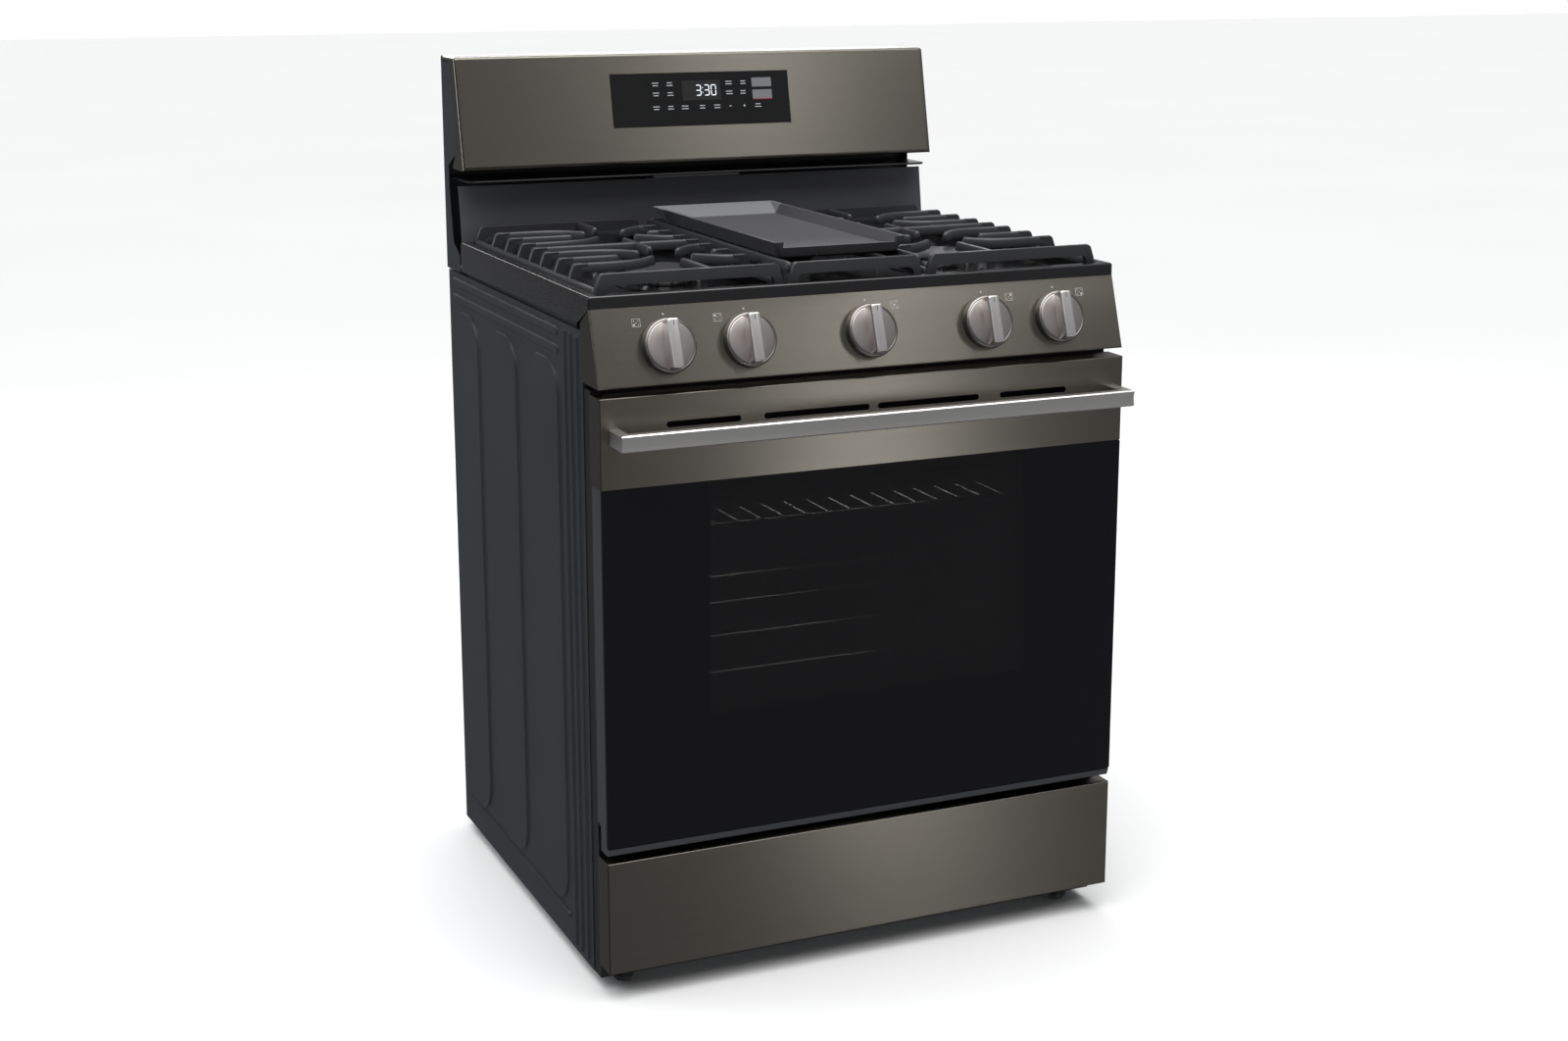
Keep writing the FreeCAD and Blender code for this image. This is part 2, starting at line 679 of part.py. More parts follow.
def rect_loft(x, y0, y1, z0, grow, z1, radius):
    """Tray shape: rounded rectangle at z0 that grows towards z1."""
    low = rounded_wire(-x, x, y0, y1, radius, lambda u, v: V(u, v, z0))
    high = rounded_wire(-x - grow, x + grow, y0 - grow, y1 + grow, radius + grow, lambda u, v: V(u, v, z1))
    return Part.makeLoft([low, high], True, True)


def cooktop():
    side_view = ((lip_front, rim_bottom), (lip_knee, knee_z), (lip_heel, heel_z), (top_rear, skirt_z),
                 (top_rear, cooktop_height), (lip_front, cooktop_height))
    body = prism_x(side_view, -half_width, half_width)
    top_edges = [edge for edge in body.Edges
                 if edge.BoundBox.ZMin > cooktop_height - 0.1 and edge.BoundBox.YMin < top_rear - 1]
    corner_edges = [edge for edge in body.Edges
                    if edge.BoundBox.YMax < lip_front + 0.1 and edge.BoundBox.ZLength > rim_height - 1]
    body = body.makeFillet(edge_round, top_edges + corner_edges)
    inner_view = ((lip_front + sheet, rim_bottom - 60), (top_rear + 1, rim_bottom - 60),
                  (top_rear + 1, cooktop_height - sheet), (lip_front + sheet, cooktop_height - sheet))
    inside = prism_x(inner_view, -half_width + sheet, half_width - sheet)
    inside_edges = [edge for edge in inside.Edges if edge.BoundBox.YMin < top_rear - 1 and
                    (edge.BoundBox.ZMin > cooktop_height - sheet - 0.1 or
                     (edge.BoundBox.YMax < lip_front + sheet + 0.1 and edge.BoundBox.ZLength > 1))]
    body = body.cut(inside.makeFillet(edge_round - sheet, inside_edges))
    floor_half_width = well_half - well_slope
    floor_y0, floor_y1 = well_front + well_slope, well_rear - well_slope
    tray = rect_loft(floor_half_width, floor_y0, floor_y1, well_z - sheet, well_slope, cooktop_height - 0.2,
                     well_corner)
    void = rect_loft(floor_half_width - sheet, floor_y0 + sheet, floor_y1 - sheet, well_z, well_slope,
                     cooktop_height + 1, well_corner - sheet)
    body = body.fuse(tray).cut(void)
    rings = []
    holes = []
    for name, x, y, radius in burner_places:
        rings.append(rod(V(x, y, well_z - sheet), V(x, y, well_z + 1.5), radius + 14))
        holes.append(rod(V(x, y, well_z - 5), V(x, y, well_z + 5), throat_radius + fit_gap))
        holes.append(rod(V(x + radius - igniter_offset, y, well_z - 5),
                         V(x + radius - igniter_offset, y, well_z + 5),
                         igniter_radius + fit_gap))
    holes.append(rounded_block_z(-oval_half_width + 8 - fit_gap, oval_half_width - 8 + fit_gap,
                                 oval_y - oval_half_length + 8, oval_y + oval_half_length - 8,
                                 well_z - 5, well_z + 5, oval_half_width))
    holes.append(rod(V(oval_half_width, oval_y, well_z - 5), V(oval_half_width, oval_y, well_z + 5),
                     igniter_radius + fit_gap))
    body = body.multiFuse(rings)
    return cut(body, holes)


save("cooktop", cooktop())

# ---------------------------------------------------------------- burners
# Aluminium heads with a ring of flame ports, enamelled caps, and a spark electrode beside each head.
head_top = well_z + 1.5 + head_height
throat_bottom = well_z - 22


def burner_head(x, y, radius):
    flare = Part.makeCone(radius - 16, radius - 10, head_height - 4, V(x, y, well_z + 1.5))
    crown = rod(V(x, y, head_top - 4), V(x, y, head_top), radius - 10)
    throat = rod(V(x, y, throat_bottom), V(x, y, well_z + 2), throat_radius)
    bore = rod(V(x, y, throat_bottom - 1), V(x, y, head_top + 1), throat_radius - 10)
    ports = []
    port_count = 24
    for index in range(port_count):
        slot = block(x + radius - 18, x + radius, y - 0.9, y + 0.9, head_top - 3.5, head_top + 1)
        slot.rotate(V(x, y, 0), V(0, 0, 1), index * 360 / port_count)
        ports.append(slot)
    return cut(fuse([flare, crown, throat]), [bore] + ports)


def oval_head():
    low = oval_half_width - 8
    body = rounded_block_z(-oval_half_width + 3, oval_half_width - 3, oval_y - oval_half_length + 3,
                           oval_y + oval_half_length - 3, well_z, head_top - 2, oval_half_width)
    body = cut(body, [rod(V(oval_half_width, oval_y, well_z - 1), V(oval_half_width, oval_y, head_top), 5)])
    throat = rounded_block_z(-low, low, oval_y - oval_half_length + 9, oval_y + oval_half_length - 9,
                             throat_bottom, well_z + 1, low)
    return fuse([body, throat])


save("burner_heads", [burner_head(x, y, radius) for name, x, y, radius in burner_places] + [oval_head()])


def burner_cap(x, y, radius):
    disc = Part.makeCylinder(radius, cap_thickness, V(x, y, head_top))
    rim = [edge for edge in disc.Edges if edge.BoundBox.ZMin > head_top + cap_thickness - 0.1]
    return disc.makeFillet(3.0, rim)


def oval_cap():
    disc = rounded_block_z(-oval_half_width, oval_half_width, oval_y - oval_half_length,
                           oval_y + oval_half_length,
                           head_top - 2, head_top - 2 + cap_thickness, oval_half_width)
    rim = [edge for edge in disc.Edges if edge.BoundBox.ZMin > head_top - 2 + cap_thickness - 0.1]
    return disc.makeFillet(2.5, rim)


save("burner_caps", [burner_cap(x, y, radius) for name, x, y, radius in burner_places] + [oval_cap()])


def igniter(x, y):
    """Ceramic pin with a thicker foot under the cooktop and a steel tip."""
    foot = rod(V(x, y, well_z - 14), V(x, y, well_z - sheet), igniter_radius + 2)
    pin = rod(V(x, y, well_z - sheet), V(x, y, head_top - 4), igniter_radius)
    tip = rod(V(x, y, head_top - 5), V(x, y, head_top - 2.5), 1.0)
    return fuse([foot, pin, tip])


igniter_places = [(x + radius - igniter_offset, y) for name, x, y, radius in burner_places]
igniter_places.append((oval_half_width, oval_y))
save("igniters", [igniter(x, y) for x, y in igniter_places])

# ---------------------------------------------------------------- control panel
# Sloped fascia with side faces and a turned-in lower flange.
fascia_top_y = behind(cooktop_front)
fascia_foot_y = behind(fascia_foot)
tilt = math.atan2(fascia_top_y - fascia_foot_y, fascia_height)
outward = V(0, -math.cos(tilt), math.sin(tilt))
knob_z = rim_bottom - knob_drop
knob_y = fascia_foot_y + (knob_z - fascia_bottom) * math.tan(tilt)
panel_half = half_width - door_side_gap


def along(x, distance):
    """Point on a knob's axis, this far out of the control panel's face."""
    return V(x, knob_y, knob_z) + outward * distance


def control_panel():
    rear = behind(fascia_rear) - fit_gap
    outline = ((fascia_top_y + 0.3, rim_bottom - fit_gap), (fascia_foot_y, fascia_bottom),
               (rear, fascia_bottom),
               (rear, heel_z - 1.2), (lip_knee, knee_z - 1.2))
    body = prism_x(outline, -panel_half, panel_half)
    front = [edge for edge in body.Edges if abs(edge.BoundBox.ZLength - (fascia_height - fit_gap)) < 0.5]
    foot = [edge for edge in body.Edges if edge.BoundBox.XLength > panel_half
            and edge.BoundBox.YMax < fascia_foot_y + 0.1]
    body = body.makeFillet(2.0, front + foot)
    thick = trim_sheet / math.cos(tilt)
    inner = ((fascia_top_y + thick, rim_bottom), (fascia_foot_y + thick, fascia_bottom + trim_sheet),
             (rear + 5, fascia_bottom + trim_sheet), (rear + 5, rim_bottom))
    body = body.cut(prism_x(inner, -panel_half + trim_sheet, panel_half - trim_sheet))
    foot_tab = block(-panel_half + 20, panel_half - 20, body_front + 2, body_front + 2 + trim_sheet,
                     frame_top, fascia_bottom + trim_sheet)
    holes = [rod(along(x, -12), along(x, 5), stem_radius + 4) for x in knob_offsets]
    return cut(fuse([body, foot_tab]), holes)


save("control_panel", control_panel())

# ---------------------------------------------------------------- gas valves, stems and knobs
valve_front = -8.0
valve_back = -46.0
manifold_y = knob_y + 62
manifold_z = knob_z + outward.z * valve_back - 6


def gas_valve(x):
    body = rod(along(x, valve_back), along(x, valve_front), valve_radius)
    saddle = rod(V(x, manifold_y - 24, manifold_z),
                 V(x, manifold_y - manifold_radius - seat_gap, manifold_z),
                 valve_radius - 4)
    bore = rod(along(x, valve_back + 8), along(x, valve_front + 1), stem_radius + running_gap)
    return cut(fuse([body, saddle]), [bore])


save("gas_valves", [gas_valve(x) for x in knob_offsets])


def valve_stem(x):
    """Round shaft with a flat on the part that carries the knob."""
    shaft = rod(along(x, valve_back + 9), along(x, knob_gap + stem_bore_depth), stem_radius)
    flat = Part.makeBox(10, 10, stem_bore_depth + 1, V(-5, stem_radius - 1, 0))
    flat.rotate(V(0, 0, 0), V(1, 0, 0), 90 - math.degrees(tilt))
    flat.translate(along(x, knob_gap + 4))
    return cut(shaft, [flat])


push_travel = 3.5


def knob(x):
    """Skirt, bright face and a raised grip bar across it."""
    skirt = Part.makeCone(knob_skirt_radius, knob_skirt_radius - 1.5, knob_body_depth - 4,
                          along(x, knob_gap), outward)
    face = Part.makeCone(knob_skirt_radius - 2.5, knob_face_radius, 4,
                         along(x, knob_gap + knob_body_depth - 4), outward)
    grip = Part.makeBox(knob_grip_width, 2 * knob_face_radius, knob_body_depth + knob_grip_height - 2,
                        V(-knob_grip_width / 2, -knob_face_radius, 2))
    grip = grip.common(Part.makeCylinder(knob_face_radius - 0.5, 80))
    crown = [edge for edge in grip.Edges if edge.BoundBox.ZMin > knob_body_depth + knob_grip_height - 0.1]
    grip = grip.makeFillet(2.0, crown)
    grip.rotate(V(0, 0, 0), V(1, 0, 0), 90 - math.degrees(tilt))
    grip.translate(along(x, knob_gap))
    bore_end = knob_gap + stem_bore_depth + push_travel + 1
    bore = rod(along(x, 0), along(x, bore_end), stem_radius + running_gap)
    recess = rod(along(x, 0), along(x, knob_gap + 6), knob_skirt_radius - 4)
    boss_ring = rod(along(x, knob_gap), along(x, knob_gap + 8), 7)
    body = fuse([cut(fuse([skirt, face]), [recess]), grip, boss_ring])
    return cut(body, [bore])


knob_names = ("left_outer", "left_inner", "center", "right_inner", "right_outer")
for name, x in zip(knob_names, knob_offsets):
    save("valve_stem_" + name, valve_stem(x))
    save("knob_" + name, knob(x))

# ---------------------------------------------------------------- gas lines and regulator
# Manifold pipe across the front, one tube to each burner, and the supply pipe to the rear.
tube_level = throat_bottom - 10
inlet_x = half_width - 150
inlet_z = side_clearance + 90


def pipe(points, radius):
    """Straight runs with ball joints at the bends."""
    runs = [rod(start, end, radius) for start, end in zip(points, points[1:])]
    return fuse(runs + [Part.makeSphere(radius, point) for point in points[1:-1]])


manifold_end = half_width - 45
riser_x = side_in - flange - 12
manifold = pipe([
    V(-manifold_end, manifold_y, manifold_z), V(riser_x, manifold_y, manifold_z),
    V(riser_x, back_y - 42, manifold_z), V(riser_x, back_y - 42, inlet_z + 60),
    V(inlet_x, back_y - 42, inlet_z + 60), V(inlet_x, back_y - 42, inlet_z + 28)], manifold_radius)
burner_feeds = ((0, "left_rear"), (1, "left_front"), (4, "right_rear"), (3, "right_front"))
feed_tubes = []
for valve, target in burner_feeds:
    x, y = [(px, py) for name, px, py, radius in burner_places if name == target][0]
    start_x = knob_offsets[valve] + 18
    feed_tubes.append(pipe([V(start_x, manifold_y + 24, tube_level), V(start_x, y, tube_level),
                            V(x, y, tube_level), V(x, y, throat_bottom)], gas_tube_radius))
feed_tubes.append(pipe([V(18, manifold_y + 24, tube_level), V(18, oval_y - 30, tube_level),
                        V(0, oval_y - 30, tube_level), V(0, oval_y - 30, throat_bottom)], gas_tube_radius))
save("gas_lines", [manifold] + feed_tubes)

regulator_parts = [
    rod(V(inlet_x, back_y - 42, inlet_z - 28), V(inlet_x, back_y - 42, inlet_z + 28), 16),
    rod(V(inlet_x, back_y - 80, inlet_z), V(inlet_x, back_y - 42, inlet_z), 26),
    rod(V(inlet_x, back_y - 42, inlet_z), V(inlet_x, back_y - 6, inlet_z), 11.5),
]
inlet_bore = rod(V(inlet_x, back_y - 30, inlet_z), V(inlet_x, back_y, inlet_z), 9.3)
save("pressure_regulator", cut(fuse(regulator_parts), [inlet_bore]))

# ---------------------------------------------------------------- rear cover, power inlet, screws
# Louvred sheet over the back, and a plain plate on each side of the open gap at the gas inlet.
inlet_gap = 40.0             # from the inlet's axis to each lower plate
cover_seam = inlet_z + 50    # top of the lower plates
plate_half = side_in - 1
plate_foot = side_clearance + 2
plate_front = cover_rear - sheet
power_x = -half_width + 150
power_z = inlet_z
power_radius = 11.0
louvre_pitch = 26.0
louvre_rows = 9
louvre_half = 60.0
louvre_columns = (-170, 0, 170)


def cover_hole(x, z, radius):
    return rod(V(x, plate_front - 2, z), V(x, cover_rear + 1, z), radius)


def rear_cover():
    upper = block(-plate_half, plate_half, plate_front, cover_rear, cover_seam + sheet, side_top + 2)
    left = block(-plate_half, inlet_x - inlet_gap, plate_front, cover_rear, plate_foot, cover_seam)
    right = block(inlet_x + inlet_gap, plate_half, plate_front, cover_rear, plate_foot, cover_seam)
    holes = [cover_hole(power_x, power_z, power_radius + fit_gap)]
    for index in range(louvre_rows):
        z = fan_z + (index - louvre_rows // 2) * louvre_pitch
        for x in louvre_columns:
            holes.append(rounded_block_y(x - louvre_half, x + louvre_half, plate_front - 2, cover_rear + 1,
                                         z - 4, z + 4, 4))
    for z in screw_heights():
        for x in (-side_in + screw_inset, side_in - screw_inset):
            holes.append(cover_hole(x, z, screw_radius + 0.1))
    return [cut(plate, holes) for plate in (upper, left, right)]


save("rear_cover", rear_cover())

power_parts = [
    rod(V(power_x, back_y - 34, power_z), V(power_x, back_y, power_z), power_radius),
    rod(V(power_x, back_y - 6, power_z), V(power_x, back_y - sheet, power_z), 16),
    block(power_x - 30, power_x + 30, back_y - 34, back_y - 30, power_z - 20, power_z + 20),
]
power_bore = rod(V(power_x, back_y - 36, power_z), V(power_x, back_y + 1, power_z), 5)
save("power_inlet", cut(fuse(power_parts), [power_bore]))


def cover_screw(x, y, z):
    head = rod(V(x, y, z), V(x, y + screw_head, z), 4.5)
    socket = prism([V(x + 1.6 * math.cos(i * math.pi / 3), y + screw_head - 1,
                      z + 1.6 * math.sin(i * math.pi / 3))
                    for i in range(6)], V(0, 3, 0))
    shank = rod(V(x, y - 9, z), V(x, y, z), screw_radius)
    return cut(fuse([head, shank]), [socket])


guard_bottom = side_top + 3
guard_screw_heights = (guard_bottom + 30, range_height - 60)
guard_rear = cover_rear
screw_places = [(x, cover_rear, z) for z in screw_heights() for x in (-side_in + screw_inset,
                                                                      side_in - screw_inset)]
screw_places += [(x, guard_rear, z) for z in guard_screw_heights for x in (-side_in + 40, side_in - 40)]
save("panel_screws", [cover_screw(*place) for place in screw_places])

# ---------------------------------------------------------------- backguard
console_top_y = behind(console_foot + console_lean)
console_foot_y = behind(console_foot)
console_angle = math.atan2(console_lean, console_height)
guard_half = half_width - 1


def console_y(z):
    """The console's front plane at this height."""
    return console_foot_y + (z - console_bottom) * math.tan(console_angle)


def on_console(x, z, out):
    return V(x, console_y(z) - out * math.cos(console_angle), z + out * math.sin(console_angle))


def console_block(x0, x1, z0, z1, out0, out1):
    """Box square to the console's sloped face, between two distances out of it."""
    points = [on_console(x0, z0, out0), on_console(x0, z1, out0), on_console(x0, z1, out1),
              on_console(x0, z0, out1)]
    return prism(points, V(x1 - x0, 0, 0))


wrap_top = range_height - 7
wrap_outline = ((console_foot_y, console_bottom), (console_top_y, range_height),
                (back_y - sheet, range_height),
                (back_y - sheet, wrap_top), (behind(640), wrap_top), (behind(618), console_bottom + 44),
                (behind(619), console_bottom + 21), (behind(636), console_bottom))
display_low = range_height - display_drop - display_height
display_high = range_height - display_drop


def console_fascia():
    body = prism_x(wrap_outline, -door_half, door_half)
    front = [edge for edge in body.Edges
             if abs(edge.BoundBox.ZLength - console_height) < 0.5]
    long_edges = [edge for edge in body.Edges if edge.BoundBox.XLength > door_half
                  and edge.BoundBox.YMax < console_top_y + 0.1]
    top_ends = [edge for edge in body.Edges if edge.BoundBox.XLength < 1 and edge.BoundBox.ZLength < 0.1
                and edge.BoundBox.ZMin > range_height - 0.1]
    body = body.makeFillet(console_round, front + long_edges + top_ends)
    skin = trim_sheet / math.cos(console_angle)
    low, high = console_bottom + trim_sheet, range_height - trim_sheet
    inner = ((console_y(low) + skin, low), (console_y(high) + skin, high), (back_y + 5, high),
             (back_y + 5, low))
    inside = prism_x(inner, -door_half + trim_sheet, door_half - trim_sheet)
    inside = inside.makeFillet(console_round - trim_sheet, [edge for edge in inside.Edges
                               if edge.BoundBox.YMax < console_y(high) + skin + 0.1
                               or (edge.BoundBox.XLength < 1 and edge.BoundBox.ZMin > high - 0.1)])
    opening = console_block(-display_half_width - fit_gap, display_half_width + fit_gap,
                            display_low - fit_gap, display_high + fit_gap, 5, -6)
    return cut(body, [inside, opening])


save("console_fascia", console_fascia())
save("display_glass", console_block(-display_half_width, display_half_width, display_low, display_high,
                                    0.6, 0.6 - display_glass_thickness))
board_parts = [
    console_block(-display_half_width - 12, display_half_width + 12, display_low - 8, display_high + 8, -7,
                  -9),
    console_block(-display_half_width - 11, -display_half_width - 3, display_low, display_high,
                  -trim_sheet, -9),
    console_block(display_half_width + 3, display_half_width + 11, display_low, display_high, -trim_sheet,
                  -9),
    console_block(-120, -70, display_low + 6, display_high - 20, -8.5, -30),
    console_block(60, 110, display_low + 6, display_low + 34, -8.5, -22),
    console_block(-35, 35, display_high - 44, display_high - 8, 0.6 - display_glass_thickness, -9),
]
save("control_board", fuse(board_parts))

guard_outline = ((behind(641), wrap_top - 1), (behind(619.5), console_bottom + 44),
                 (behind(620.5), console_bottom + 21.5),
                 (behind(660), shelf_z + 18), (behind(660), shelf_z - 15),
                 (behind(650), cooktop_height + 19),
                 (behind(645), cooktop_height - 5), (top_rear + 10, rim_bottom - 5),
                 (top_rear + 10, guard_bottom),
                 (back_y - sheet, guard_bottom), (back_y - sheet, wrap_top - 1))


def backguard_shell():
    """Folded sheet: the back and the two shaped side plates."""
    side = prism_x(guard_outline, guard_half - sheet, guard_half)
    back = block(-guard_half, guard_half, back_y - sheet, back_y, guard_bottom, range_height)
    slots = []
    for index in range(12):
        x = -275 + 50 * index
        slots.append(rounded_block_y(x - 18, x + 18, back_y - 3, back_y + 1, cooktop_height + 20,
                                     cooktop_height + 28, 4))
    for z in guard_screw_heights:
        for x in (-side_in + 40, side_in - 40):
            slots.append(rod(V(x, back_y - 4, z), V(x, back_y + 1, z), screw_radius + 0.1))
    shell = fuse([back] + both_sides(side))
    return cut(shell, slots)


save("backguard_shell", backguard_shell())

splash_foot = top_rear
splash_low = well_z + 4
splash_top = shelf_z - vent_gap - 2
splash_half = guard_half - sheet - 0.5


def splash_panel():
    lean = splash_lean
    hem = 4.0
    front = ((splash_foot, splash_low), (splash_foot, cooktop_height), (splash_foot + lean, splash_top),
             (splash_foot + lean + hem, splash_top), (splash_foot + lean + hem, splash_top - sheet),
             (splash_foot + lean + sheet, splash_top - sheet), (splash_foot + sheet, cooktop_height),
             (splash_foot + sheet, splash_low))
    return prism_x(front, -splash_half, splash_half)


save("splash_panel", splash_panel())

shelf_half = half_width - 8.5
shelf_round = 14.0


def vent_trim():
    """Shelf under the console with a rolled front edge; steam leaves under it."""
    front = console_foot_y + 1
    rear = back_y - sheet
    plate = rounded_block_z(-shelf_half, shelf_half, front, rear + 30, shelf_z - shelf_thickness, shelf_z,
                            shelf_round)
    plate = plate.common(block(-half_width, half_width, front - 5, rear, shelf_z - 20, shelf_z + 5))
    edges = [edge for edge in plate.Edges if edge.BoundBox.YMin < front + shelf_round - 1
             and edge.BoundBox.ZLength < 0.1 and edge.BoundBox.YMax < front + shelf_round + 1]
    return plate.makeFillet(1.2, edges)


save("vent_trim", vent_trim())

# ---------------------------------------------------------------- oven door
frame_side = door_half - 1.5


def door_skin_outline(inset):
    """Side view of the door frame: full depth above, thinner at the foot."""
    front = behind(door_glass) if inset == 0 else behind(-1)
    foot = behind(door_foot_depth) - inset
    rear = behind(door_depth) - inset
    low = door_bottom + inset
    step = pivot_z + 13
    if inset == 0:
        nose = ((front, glass_bottom), (behind(0.5), glass_bottom - 1.5), (front, low))
    else:
        nose = ((front, glass_bottom + 0.5), (behind(door_glass), glass_bottom - 1),
                (behind(door_glass) + 1, low))
    return nose + ((foot, low), (foot, step + inset), (rear, step + 4 + inset),
                   (rear, door_top - 2 - inset),
                   (front, door_top - 2 - inset))


def door_frame():
    outer = prism_x(door_skin_outline(0), -frame_side, frame_side)
    inner = prism_x(door_skin_outline(trim_sheet), -frame_side + trim_sheet, frame_side - trim_sheet)
    notch = block(hinge_offset - hinge_slot_half, hinge_offset + hinge_slot_half, behind(6), body_front,
                  door_bottom - 1, pivot_z + arm_half_height + 4)
    window = rounded_block_y(-window_half_width - 45, window_half_width + 45, behind(20), body_front,
                             window_bottom - 40, window_top + 40, 20)
    return cut(outer, [inner, window] + both_sides(notch))


save("door_frame", door_frame())
save("door_glass", rounded_block_y(-door_half + 0.5, door_half - 0.5, face_y, behind(door_glass),
                                   glass_bottom + 0.3,
                                   trim_bottom - 0.5, 1.5))


def door_trim():
    """Finished band over the top of the door, wrapped round its sides, with four vent slots."""
    body = block(-door_half, door_half, face_y, behind(door_depth), trim_bottom, door_top)
    lower = [prism_x(((behind(door_depth) + 1, trim_bottom - 1), (behind(door_depth) + 1, trim_bottom + 9),
                      (behind(door_depth) - 8, trim_bottom - 1)), -door_half - 1, door_half + 1)]
    edges = [edge for edge in body.Edges if edge.BoundBox.YMax < face_y + 0.1 and
             (edge.BoundBox.ZLength > 1 or edge.BoundBox.ZMin > door_top - 0.1)]
    body = body.makeFillet(1.5, edges)
    inside = block(-door_half + trim_sheet, door_half - trim_sheet, face_y + trim_sheet,
                   behind(door_depth) + 1,
                   trim_bottom - 1, door_top - trim_sheet)
    slot_z = door_top - slot_drop
    slots = []
    for start, end in slot_spans:
        slot = rounded_block_y(start, end, face_y - 1, face_y + 5, slot_z - slot_height / 2,
                               slot_z + slot_height / 2, slot_height / 2)
        slots += both_sides(slot)
    handle_z = door_top - handle_drop
    screw_hole = rod(V(handle_length / 2 - handle_end / 2, face_y - 1, handle_z),
                     V(handle_length / 2 - handle_end / 2, face_y + 5, handle_z), 3.2)
    return cut(body, [inside] + lower + slots + both_sides(screw_hole))


save("door_trim", door_trim())


def door_handle():
    """Rectangular bar with mitred returns at both ends, tapped from behind."""
    z = door_top - handle_drop
    low, high = z - handle_height / 2, z + handle_height / 2
    half = handle_length / 2
    front = face_y - handle_reach
    outline = ((-half, face_y), (-half, front + 3), (-half + 3, front), (half - 3, front),
               (half, front + 3),
               (half, face_y), (half - handle_end, face_y), (half - handle_end, front + handle_bar + 4),
               (half - handle_end - 4, front + handle_bar), (-half + handle_end + 4, front + handle_bar),
               (-half + handle_end, front + handle_bar + 4), (-half + handle_end, face_y))
    bar = prism_z(outline, low, high)
    rims = [edge for edge in bar.Edges if edge.BoundBox.ZLength < 0.1 and edge.BoundBox.YMax < front + 3.1]
    bar = bar.makeFillet(1.5, rims)
    tapped = rod(V(half - handle_end / 2, face_y - 14, z), V(half - handle_end / 2, face_y + 1, z), 2.5)
    return cut(bar, both_sides(tapped))


save("door_handle", door_handle())


plug_depth = 13.0            # how far the inner panel reaches into the oven
pane_thickness = 3.0
pane_grow = 25.0             # inner pane past the window, each side
retainer_grow = 31.0         # middle pane, on the retainer's front edge
retainer_front = behind(21)


def window_ring(grow, y0, y1):
    return block(-window_half_width - grow, window_half_width + grow, y0, y1, window_bottom - grow,
                 window_top + grow)


def door_liner():
    """Enamelled inner panel: a plug that fits inside the oven opening, and a retainer for the glass."""
    rear = behind(door_depth)
    plug_face = rear + plug_depth - trim_sheet
    plate = rounded_block_y(-cavity_half_width - 24, cavity_half_width + 24, rear, liner_skin,
                            pivot_z + 18, door_top - 22, 10)
    plug_half = cavity_half_width - 24
    low = rounded_wire(-plug_half, plug_half, cavity_bottom + 26, cavity_top - 26, 26,
                       lambda u, v: V(u, rear, v))
    high = rounded_wire(-plug_half + 8, plug_half - 8, cavity_bottom + 34, cavity_top - 34, 20,
                        lambda u, v: V(u, rear + plug_depth, v))
    plug = Part.makeLoft([low, high], True, True)
    hollow = plug.translated(V(0, -trim_sheet, 0))
    window = rounded_block_y(-window_half_width, window_half_width, rear - 5, rear + plug_depth + 5,
                             window_bottom, window_top, 16)
    retainer = window_ring(retainer_grow, retainer_front, plug_face)
    retainer = retainer.cut(window_ring(retainer_grow - 4, retainer_front - 1, plug_face + 1))
    return cut(fuse([plate, plug]), [hollow, window]).fuse(retainer)


save("door_liner", door_liner())
panes = []
pane_places = ((retainer_front, retainer_grow), (behind(door_depth) + plug_depth - trim_sheet, pane_grow))
for rear, grow in pane_places:
    panes.append(block(-window_half_width - grow, window_half_width + grow, rear - pane_thickness, rear,
                       window_bottom - grow, window_top + grow))
save("door_inner_glass", panes)


def door_hinge():
    """Channel inside the door, with the pin that the fixed arm carries."""
    gap = arm_thickness / 2 + 2.5
    plates = [block(hinge_offset + side * gap - (0 if side > 0 else 2),
                    hinge_offset + side * gap + (2 if side > 0 else 0),
                    behind(5.5), behind(25), door_bottom + 6, pivot_z + 80) for side in (-1, 1)]
    web = block(hinge_offset - gap, hinge_offset + gap, behind(5.5), behind(7.5), pivot_z + 16,
                pivot_z + 80)
    pin = rod(V(hinge_offset - gap - 3, pivot_y, pivot_z), V(hinge_offset + gap + 3, pivot_y, pivot_z),
              hinge_pin_radius)
    return fuse(plates + [web, pin])


save("door_hinges", both_sides(door_hinge()))


def hinge_arm():
    """Fixed arm that hooks into the front frame and holds the door's pin."""
    x0, x1 = hinge_offset - arm_thickness / 2, hinge_offset + arm_thickness / 2
    eye = rod(V(x0, pivot_y, pivot_z), V(x1, pivot_y, pivot_z), arm_half_height)
    bar = block(x0, x1, pivot_y, body_front + 30, pivot_z - arm_half_height, pivot_z + arm_half_height)
    hook = block(x0, x1, body_front + frame_sheet, body_front + 12, pivot_z - arm_half_height - 8, pivot_z)
    bore = rod(V(x0 - 1, pivot_y, pivot_z), V(x1 + 1, pivot_y, pivot_z), hinge_pin_radius + running_gap)
    return cut(fuse([eye, bar, hook]), [bore])


save("hinge_arms", both_sides(hinge_arm()))

# ---------------------------------------------------------------- storage drawer
drawer_rear_face = behind(door_depth)
pan_z = drawer_clearance + drawer_box_bottom
pan_top = pan_z + drawer_box_height
drawer_half = door_half - 0.5


